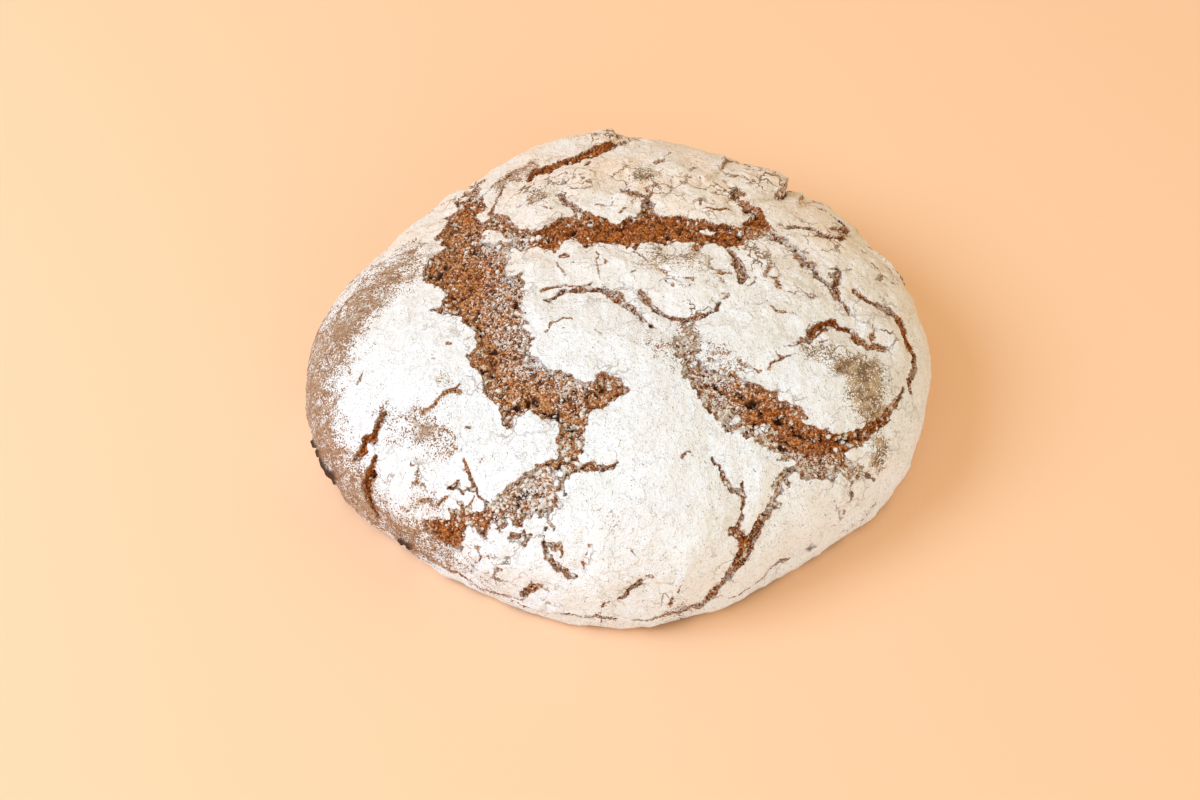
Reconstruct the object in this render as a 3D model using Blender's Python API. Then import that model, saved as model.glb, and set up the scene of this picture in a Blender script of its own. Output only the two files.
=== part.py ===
"""A round farmhouse rye loaf, baked free on the stone: one solid.

The loaf is worked out on its peel: the crust taken off and laid flat, as if each line from the top
of the dome down to the rim were unrolled. A place on the peel is (x, y) in millimetres from the top,
and its distance from the top is the length of crust between them. The rifts, where the crust tore
open in the oven, are drawn on the peel as lines with a half width at each point.

+X is the loaf's long side, +Z is up, and the loaf stands on z = 0.
"""

import math

import bmesh
import bpy
import numpy as np
from mathutils import Vector

MM = 0.001

# Driving dimensions of the whole loaf.
MEAN_RADIUS = 125.0 * MM
DOME_HEIGHT = 78.0 * MM
WAIST_HEIGHT = 22.0 * MM  # the widest line round the loaf
BASE_SHARE = 0.93  # the flat base's radius over the waist's
DOME_SQUARENESS = 2.3  # 2 is an ellipse, more is a flatter top with fuller shoulders

# How the plan departs from a circle: waves round the rim, outward swell, direction of the first crest.
PLAN_WAVES = (
    (2, 3.7 * MM, math.radians(13)),
    (3, 2.1 * MM, math.radians(-28)),
    (4, 3.7 * MM, math.radians(7)),
    (5, 1.4 * MM, math.radians(-30)),
)

# The crust sags towards each rift, drops down the rift's wall and lies level along its floor.
PLATE_SAG = 2.6 * MM
SAG_REACH = 14.0 * MM
RIFT_DEPTH = 4.2 * MM
WALL_RUN = 2.4 * MM
RIM_FADE = 12.0 * MM  # the rifts run out over this much crust above the base
LUMP_HEIGHT = 1.0 * MM

# The thin lip of burnt dough that spread on the stone: direction round the rim, width and reach.
LIP_PLACES = ((math.radians(203), math.radians(7)), (math.radians(225), math.radians(4)))
LIP_REACH = 3.0 * MM
LIP_HEIGHT = 4.0 * MM

# The ball that the loaf is shaped from, and how finely it is cut along the rifts.
BALL_CUTS = 5
FINE_REACH = 3.4 * MM
CLOSEST_CUT = 0.15  # no cut comes nearer to the end of an edge than this share of it
FLAT_HEIGHT = 0.001  # on the ball, how far above the slice still counts as base
MERIDIAN_STEPS = 240

CRUST_COLOUR = (0.80, 0.74, 0.66, 1.0)
CRUST_ROUGHNESS = 0.9

# Each rift's line on the peel: x, y and half width, in millimetres.
RIFTS = {
    "west": ((-71, 86, 4), (-74, 66, 8), (-77, 46, 9), (-71, 28, 14), (-65, 10, 14), (-57, -8, 13),
             (-51, -24, 10), (-47, -42, 13), (-38, -54, 10), (-22, -57, 9), (-6, -56, 6), (2, -56, 2)),
    "west neck": ((-21, -58, 7), (-22, -74, 6), (-22, -88, 5)),
    "south west": ((-8, -88, 2), (-28, -94, 7), (-42, -101, 8), (-56, -107, 5), (-70, -107, 5),
                   (-77, -114, 5), (-90, -110, 3)),
    "crest": ((-58, 34, 8), (-42, 29, 6), (-26, 32, 8), (0, 29, 8), (22, 32, 9), (42, 30, 9), (57, 36, 6)),
    "crest spur": ((10, 36, 4), (10, 50, 3)),
    "north east": ((58, 36, 6), (58, 49, 5), (49, 66, 3)),
    "east shoulder": ((62, 37, 4), (75, 25, 4), (83, 11, 2), (88, 3, 3), (91, -8, 1)),
    "north": ((4, 104, 2), (-14, 90, 3), (-30, 81, 3), (-44, 71, 2)),
    "south east": ((25, -36, 3), (34, -54, 6), (50, -62, 9), (66, -70, 12), (80, -77, 9), (96, -78, 6),
                   (108, -82, 3)),
    "east hook": ((80, -72, 7), (92, -68, 4), (103, -58, 4), (112, -46, 3), (119, -34, 2)),
    "south": ((73, -90, 2), (62, -110, 4), (55, -126, 5), (47, -138, 4), (40, -154, 3)),
    "east": ((98, 8, 2), (110, 3, 3), (119, -4, 3), (122, -20, 2), (121, -31, 2)),
    "east smile": ((70, -22, 1), (81, -15, 4), (94, -21, 3), (107, -21, 1)),
    "south west cleft": ((-103, -69, 1), (-107, -77, 4), (-112, -86, 4), (-115, -94, 1)),
    "west fold": ((-95, -51, 1), (-101, -60, 4), (-111, -65, 2), (-116, -69, 1)),
}


def clear_scene():
    for obj in list(bpy.data.objects):
        bpy.data.objects.remove(obj, do_unlink=True)


def meridian():
    """The loaf's outline from the top of the dome to the rim, as (length so far, radius share, height)."""
    outline = []
    for i in range(MERIDIAN_STEPS + 1):
        turn = math.pi / 2 * i / MERIDIAN_STEPS
        radius = math.sin(turn) ** (2 / DOME_SQUARENESS)
        rise = max(math.cos(turn), 0.0) ** (2 / DOME_SQUARENESS)
        outline.append((radius, WAIST_HEIGHT + (DOME_HEIGHT - WAIST_HEIGHT) * rise))
    for i in range(1, MERIDIAN_STEPS + 1):
        turn = math.pi / 2 * i / MERIDIAN_STEPS
        radius = BASE_SHARE + (1 - BASE_SHARE) * max(math.cos(turn), 0.0) ** 0.9
        outline.append((radius, WAIST_HEIGHT * (1 - math.sin(turn) ** 1.1)))
    points = [(0.0, *outline[0])]
    for (r0, z0), (r1, z1) in zip(outline, outline[1:]):
        step = math.hypot((r1 - r0) * MEAN_RADIUS, z1 - z0)
        points.append((points[-1][0] + step, r1, z1))
    return points


MERIDIAN = meridian()
PEEL_RADIUS = MERIDIAN[-1][0]


def on_meridian(length):
    """(radius share, height) at this length of crust from the top."""
    low, high = 0, len(MERIDIAN) - 1
    while high - low > 1:
        middle = (low + high) // 2
        if MERIDIAN[middle][0] <= length:
            low = middle
        else:
            high = middle
    (l0, r0, z0), (l1, r1, z1) = MERIDIAN[low], MERIDIAN[high]
    share = min(max((length - l0) / (l1 - l0), 0.0), 1.0)
    return r0 + (r1 - r0) * share, z0 + (z1 - z0) * share


def plan_radius(direction):
    return MEAN_RADIUS + sum(
        swell * math.cos(waves * (direction - crest)) for waves, swell, crest in PLAN_WAVES
    )


def on_loaf(x, y):
    """The point of the smooth loaf at this place on the peel."""
    direction = math.atan2(y, x)
    share, height = on_meridian(math.hypot(x, y))
    radius = plan_radius(direction) * share
    return Vector((radius * math.cos(direction), radius * math.sin(direction), height))


def outward(x, y):
    """The smooth loaf's outward direction at this place on the peel."""
    step = 0.5 * MM
    across = on_loaf(x + step, y) - on_loaf(x - step, y)
    along = on_loaf(x, y + step) - on_loaf(x, y - step)
    return across.cross(along).normalized()


def rift_legs():
    """Every straight leg of every rift: its start and its end, each as x, y and half width in metres."""
    starts, ends = [], []
    for line in RIFTS.values():
        starts += line[:-1]
        ends += line[1:]
    return np.array(starts) * MM, np.array(ends) * MM


LEG_STARTS, LEG_ENDS = rift_legs()
LEG_RUNS = LEG_ENDS - LEG_STARTS
LEG_SQUARES = (LEG_RUNS[:, :2] ** 2).sum(axis=1)


def to_rift(x, y):
    """How far this place is outside the nearest rift's side; negative inside a rift."""
    offset = np.array((x, y)) - LEG_STARTS[:, :2]
    share = np.clip((offset * LEG_RUNS[:, :2]).sum(axis=1) / LEG_SQUARES, 0, 1)
    away = offset - share[:, None] * LEG_RUNS[:, :2]
    half_width = LEG_STARTS[:, 2] + share * LEG_RUNS[:, 2]
    return float((np.hypot(away[:, 0], away[:, 1]) - half_width).min())


def lumps(x, y):
    """Slow swells of the dough, from three crossed waves of unlike lengths."""
    waves = ((71.0, 0.4, 0.0), (53.0, 2.3, 1.1), (38.0, 4.2, 2.6))
    total = 0.0
    for length, heading, phase in waves:
        along = x * math.cos(heading) + y * math.sin(heading)
        total += math.sin(2 * math.pi * along / (length * MM) + phase)
    return LUMP_HEIGHT * total / len(waves)


def relief(x, y):
    """How far the crust stands out from the smooth loaf: sagging plates, sunken rifts."""
    side = to_rift(x, y)
    sag = PLATE_SAG * math.exp(-max(side, 0.0) / SAG_REACH)
    drop = RIFT_DEPTH * min(max(-side, 0.0) / WALL_RUN, 1.0)
    fade = min(max((PEEL_RADIUS - math.hypot(x, y)) / RIM_FADE, 0.0), 1.0)
    return fade * (lumps(x, y) - sag - drop)


def lip(direction, height):
    """How far the burnt lip pushes the rim out, at this direction and height."""
    push = 0.0
    for middle, spread in LIP_PLACES:
        turn = math.remainder(direction - middle, 2 * math.pi)
        push = max(push, math.exp(-((turn / spread) ** 2)))
    return LIP_REACH * push * max(1 - height / LIP_HEIGHT, 0.0)


def ball():
    """A ball with its bottom sliced off flat where the loaf's rim comes."""
    mesh = bmesh.new()
    bmesh.ops.create_icosphere(mesh, subdivisions=BALL_CUTS, radius=1.0)
    base_radius = BASE_SHARE * MEAN_RADIUS
    rim_turn = math.pi * PEEL_RADIUS / (PEEL_RADIUS + base_radius)
    everything = mesh.verts[:] + mesh.edges[:] + mesh.faces[:]
    rim_height = math.cos(rim_turn)
    bmesh.ops.bisect_plane(
        mesh, geom=everything, dist=1e-4, plane_co=(0, 0, rim_height), plane_no=(0, 0, -1), clear_outer=True
    )
    rim = [edge for edge in mesh.edges if edge.is_boundary]
    bmesh.ops.contextual_create(mesh, geom=rim)
    return mesh, rim_turn


def peel_place(corner, rim_turn):
    """Where a corner of the ball lies on the peel."""
    turn = math.acos(max(min(corner.normalized().z, 1.0), -1.0))
    length = PEEL_RADIUS * min(turn / rim_turn, 1.0)
    direction = math.atan2(corner.y, corner.x)
    return length * math.cos(direction), length * math.sin(direction)


def is_wall(edge):
    """Whether this edge has no part in the flat base."""
    return all(len(face.verts) == 3 for face in edge.link_faces)


def refine_near_rifts(mesh, rim_turn):
    """Halves the edges near the rifts."""
    near = []
    for edge in mesh.edges:
        middle = (edge.verts[0].co + edge.verts[1].co) / 2
        if is_wall(edge) and to_rift(*peel_place(middle, rim_turn)) < FINE_REACH:
            near.append(edge)
    base = max(mesh.faces, key=lambda face: len(face.verts))
    bmesh.ops.subdivide_edges(mesh, edges=near, cuts=1, use_grid_fill=True, use_single_edge=True)
    bmesh.ops.triangulate(mesh, faces=[face for face in mesh.faces if face is not base])
    for corner in mesh.verts:
        if corner.co.z > math.cos(rim_turn) + FLAT_HEIGHT:
            corner.co.normalize()


def cut_along_rifts(mesh, rim_turn, level):
    """Puts a line of edges where the rifts' sides are this far away."""
    height = {corner: to_rift(*peel_place(corner.co, rim_turn)) - level for corner in mesh.verts}
    base = max(mesh.faces, key=lambda face: len(face.verts))
    cut = set()
    for edge in [edge for edge in mesh.edges if is_wall(edge)]:
        start, end = edge.verts
        if (height[start] > 0) == (height[end] > 0):
            continue
        share = height[start] / (height[start] - height[end])
        share = min(max(share, CLOSEST_CUT), 1 - CLOSEST_CUT)
        cut.add(bmesh.utils.edge_split(edge, start, share)[1])
    for face in mesh.faces[:]:
        on_line = [corner for corner in face.verts if corner in cut]
        if len(on_line) == 2:
            bmesh.utils.face_split(face, *on_line)
    bmesh.ops.triangulate(mesh, faces=[face for face in mesh.faces if face is not base])


def shape_loaf(mesh, rim_turn):
    """Moves every corner of the ball onto the loaf, then sets the loaf's box over the origin."""
    for corner in mesh.verts:
        x, y = peel_place(corner.co, rim_turn)
        point = on_loaf(x, y) + outward(x, y) * relief(x, y)
        on_base = corner.co.z < math.cos(rim_turn) + FLAT_HEIGHT
        direction = math.atan2(y, x)
        push = lip(direction, max(point.z, 0.0))
        point += Vector((math.cos(direction), math.sin(direction), 0)) * push
        corner.co = (point.x, point.y, 0.0 if on_base else max(point.z, 0.3 * MM))
    for axis in (0, 1):
        places = [corner.co[axis] for corner in mesh.verts]
        middle = (min(places) + max(places)) / 2
        for corner in mesh.verts:
            corner.co[axis] -= middle


def crust_material():
    material = bpy.data.materials.new("floured_crust")
    material.use_nodes = True
    surface = material.node_tree.nodes["Principled BSDF"]
    surface.inputs["Base Color"].default_value = CRUST_COLOUR
    surface.inputs["Roughness"].default_value = CRUST_ROUGHNESS
    surface.inputs["Metallic"].default_value = 0.0
    material.diffuse_color = CRUST_COLOUR
    return material


def make_loaf():
    mesh, rim_turn = ball()
    refine_near_rifts(mesh, rim_turn)
    cut_along_rifts(mesh, rim_turn, 0.0)
    cut_along_rifts(mesh, rim_turn, -WALL_RUN)
    shape_loaf(mesh, rim_turn)
    bmesh.ops.triangulate(mesh, faces=[face for face in mesh.faces if len(face.verts) > 3])
    bmesh.ops.recalc_face_normals(mesh, faces=mesh.faces)
    data = bpy.data.meshes.new("loaf")
    mesh.to_mesh(data)
    mesh.free()
    data.materials.append(crust_material())
    data.shade_smooth()
    data.set_sharp_from_angle(angle=math.radians(50))
    loaf = bpy.data.objects.new("loaf", data)
    collection = bpy.data.collections.new("rye_loaf")
    bpy.context.scene.collection.children.link(collection)
    collection.objects.link(loaf)
    return loaf


clear_scene()
make_loaf()
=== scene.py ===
"""A round farmhouse rye loaf: thick plates of floured crust, torn apart by rifts of open crumb.

The loaf is worked out on its peel: the crust laid flat, as if each line from the top of the dome down
to the rim were unrolled. A place on the peel is (x, y) in millimetres from the top. Rifts and cracks
are drawn there, and every corner of the mesh knows its place on it.
"""

import math

import bpy
import numpy as np
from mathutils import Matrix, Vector


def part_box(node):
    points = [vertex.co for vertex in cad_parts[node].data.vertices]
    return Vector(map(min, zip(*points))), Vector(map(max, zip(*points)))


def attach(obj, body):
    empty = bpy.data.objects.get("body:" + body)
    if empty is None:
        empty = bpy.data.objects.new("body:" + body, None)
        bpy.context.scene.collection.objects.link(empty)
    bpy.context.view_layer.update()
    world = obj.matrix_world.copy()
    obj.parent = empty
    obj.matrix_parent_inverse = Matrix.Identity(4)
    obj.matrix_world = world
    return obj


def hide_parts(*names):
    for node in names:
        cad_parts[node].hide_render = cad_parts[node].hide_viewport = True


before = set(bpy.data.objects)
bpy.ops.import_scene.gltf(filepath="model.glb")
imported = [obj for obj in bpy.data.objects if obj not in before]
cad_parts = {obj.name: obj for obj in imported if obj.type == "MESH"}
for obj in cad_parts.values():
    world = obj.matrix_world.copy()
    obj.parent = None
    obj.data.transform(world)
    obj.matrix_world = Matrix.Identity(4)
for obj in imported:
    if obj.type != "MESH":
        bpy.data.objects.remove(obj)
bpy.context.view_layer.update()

MM = 0.001

# The smooth loaf, in millimetres: the same form as the solid. The waves go round the rim: how many there
# are, how far they swell, and the direction of the first crest in degrees.
MEAN_RADIUS = 125.0
DOME_HEIGHT = 78.0
WAIST_HEIGHT = 22.0
BASE_SHARE = 0.93
DOME_SQUARENESS = 2.3
PLAN_WAVES = ((2, 3.7, 13), (3, 2.1, -28), (4, 3.7, 7), (5, 1.4, -30))

# Where the plan swells or draws in a little from that: direction and spread in degrees, and swell.
PLAN_SWELLS = ((-52, 15, -2.2), (-28, 9, 0.8), (122, 9, -1.6))

# How far burnt dough spreads out at the foot.
LIP_REACH = 1.6

# Broad bulges: x, y and reach on the peel, and rise.
BULGES = (
    (-15, 112, 22, 3.6), (64, 92, 12, 2.4), (100, 70, 12, 1.5), (-130, -80, 20, 1.2), (-112, 58, 13, 2.2),
)

# Plates whose edge stands over the next plate: the edge walked with the high side on its left, how far
# it rises and how far that reaches, and how far the low side sinks and how far that reaches.
LEDGES = (
    (((64, 64), (71, 69), (75, 76), (78, 86), (82, 104)), 2.8, 22, 2.6, 6),
    (((80, 66), (83, 76), (88, 90)), 1.2, 8, 0.6, 4),
    (((99, 50), (104, 56), (112, 68)), 0.8, 8, 1.2, 4),
    (((34, 66), (42, 76), (48, 92), (50, 108)), 1.2, 12, 0.8, 6),
    (((-8, 92), (-2, 106), (-4, 122)), 1.0, 12, 1.0, 6),
    (((-74, 84), (-86, 98), (-104, 108)), 1.2, 12, 1.0, 6),
    (((112, 44), (124, 40), (140, 44)), 1.0, 12, 0.8, 6),
)

# Relief, in millimetres: the plates sag towards the rifts, and the relief dies away at the rim.
PLATE_SAG = 2.6
SAG_REACH = 14.0
RIFT_DEPTH = 1.7
WALL_RUN = 0.5
OVERHANG = 0.4
RIM_FADE = 8
FURROW_DEPTH = 2.4
PORE_DEPTH = 2.3

# How long an edge of the mesh may be, in millimetres, by how far it lies outside a tear or a crack or
# past the rim: the distances, then the lengths. An edge is halved once it is EDGE_SLACK times too long.
CRUST_BY_TEAR = ((-2.0, -0.9, -0.4, 0.4, 2.0, 6.0), (6.0, 1.7, 0.88, 0.88, 1.6, 2.65))
CRUST_BY_CRACK = ((0.2, 0.9, 3.0), (0.88, 1.5, 2.65))
CRUST_PAST_RIM = ((0, 3, 10), (1.6, 2.5, 8.0))
CRUMB_BY_TEAR = ((-2.0, -0.5, 0.7, 2.0, 6.0, 20.0), (0.76, 0.72, 0.72, 2.2, 6.0, 16.0))
CRUMB_PAST_RIM = 16.0
EDGE_SLACK = 1.25
MOST_HALVINGS = 24
CLOSEST_CUT = 0.12  # no cut comes nearer to the end of an edge than this share of it

# Faces that meet at more than this many degrees are shaded as a crease.
CREASE_ANGLE = 55

# The map of the loaf: the radii of the peel's disc and the base's, and the margin left round them. The
# grains share one map, this many metres across.
PEEL_DISC, BASE_DISC, DISC_MARGIN = 0.43, 0.15, 0.004
GRAIN_MAP = 0.28

# Light, floor and camera: places and sizes in metres, the lift in degrees, the lens and its sensor in
# millimetres. Each light has a name, a place, a size, a power in watts and a colour.
LIGHTS = (
    ("window", (-1.22, -0.3, 1.15), 1.0, 24, (0.56, 0.75, 1.0)),
    ("fill", (1.1, -2.4, 1.0), 2.2, 24, (0.66, 0.86, 1.0)),
)
LIT_PLACE = (0, 0, 0.03)
SURROUND_COLOUR = (1.0, 0.81, 0.50, 1)
SURROUND_POWER = 0.78
FLOOR_SIZE = 14
LENS, SENSOR_WIDTH = 60, 36
CAMERA_LIFT = 50
CAMERA_DISTANCE = 0.832
LOOK_AT = (-0.0086, -0.0265, 0.030)  # from the middle of the loaf's foot

# Outlines of the two torn areas, walked round on the peel.
WEST_TEAR = (
    (-70, 92), (-79, 79), (-81, 64), (-86, 62), (-82, 56), (-83, 48), (-86, 41), (-82, 36), (-79, 29),
    (-84, 24), (-83, 14), (-80, 8), (-75, 6), (-69, -1), (-71, -4), (-70, -9), (-66, -12), (-62, -14),
    (-61, -18), (-57, -23), (-57, -28), (-61, -35), (-59, -41), (-57, -45), (-56, -51), (-54, -58),
    (-51, -65), (-48, -72), (-45, -70), (-44, -67), (-38, -65), (-32, -67), (-26, -70), (-28, -77),
    (-26, -83), (-30, -87), (-33, -86), (-40, -90), (-46, -95), (-49, -97), (-56, -102), (-62, -103),
    (-67, -101), (-75, -101), (-77, -105), (-80, -106), (-85, -104), (-93, -103), (-94, -108), (-89, -112),
    (-83, -118), (-75, -120), (-71, -117), (-71, -111), (-67, -110), (-62, -115), (-57, -113), (-54, -110),
    (-50, -112), (-44, -113), (-42, -110), (-37, -109), (-29, -107), (-27, -104), (-25, -100), (-24, -96),
    (-21, -92), (-15, -91), (-9, -91), (-10, -88), (-17, -85), (-16, -81), (-16, -74), (-13, -65), (-4, -62),
    (0, -59), (3, -56), (-1, -50), (-8, -47), (-12, -49), (-14, -53), (-17, -53), (-20, -49), (-24, -46),
    (-28, -47), (-32, -44), (-33, -41), (-37, -36), (-37, -30), (-35, -27), (-39, -23), (-38, -16),
    (-39, 1), (-40, 6), (-45, 5), (-48, 9), (-47, 16), (-48, 22), (-36, 21), (-30, 20), (-28, 22),
    (-24, 26), (-21, 26), (-16, 21), (-13, 23), (-8, 23), (0, 20), (6, 18), (8, 22), (17, 23), (26, 24),
    (35, 23), (42, 20), (48, 24), (59, 31), (66, 36), (63, 42), (63, 48), (59, 56), (54, 60), (55, 66),
    (52, 69), (48, 67), (49, 60), (51, 52), (54, 47), (54, 43), (52, 40), (51, 36), (48, 38), (43, 38),
    (39, 37), (36, 39), (27, 41), (18, 42), (14, 43), (13, 50), (10, 52), (8, 49), (7, 42), (5, 34), (4, 38),
    (0, 36), (-4, 34), (-7, 40), (-10, 40), (-14, 43), (-18, 41), (-28, 42), (-31, 38), (-35, 35), (-39, 33),
    (-43, 36), (-49, 41), (-53, 50), (-58, 53), (-61, 54), (-66, 50), (-63, 60), (-66, 72), (-66, 80),
)
EAST_TEAR = (
    (22, -32), (27, -27), (31, -28), (31, -44), (36, -47), (43, -47), (49, -46), (50, -50), (54, -51),
    (58, -51), (64, -53), (65, -57), (69, -56), (76, -60), (78, -62), (73, -64), (82, -66), (90, -65),
    (95, -63), (99, -59), (108, -49), (113, -41), (118, -31), (119, -33), (116, -43), (113, -51), (108, -58),
    (104, -62), (101, -66), (99, -69), (94, -72), (101, -76), (110, -77), (118, -79), (110, -80), (104, -82),
    (108, -94), (102, -87), (98, -84), (94, -84), (90, -88), (81, -89), (76, -90), (74, -85), (71, -83),
    (67, -85), (67, -81), (62, -81), (54, -77), (49, -76), (43, -74), (40, -70), (35, -66), (31, -62),
    (29, -56), (25, -52),
)

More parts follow.
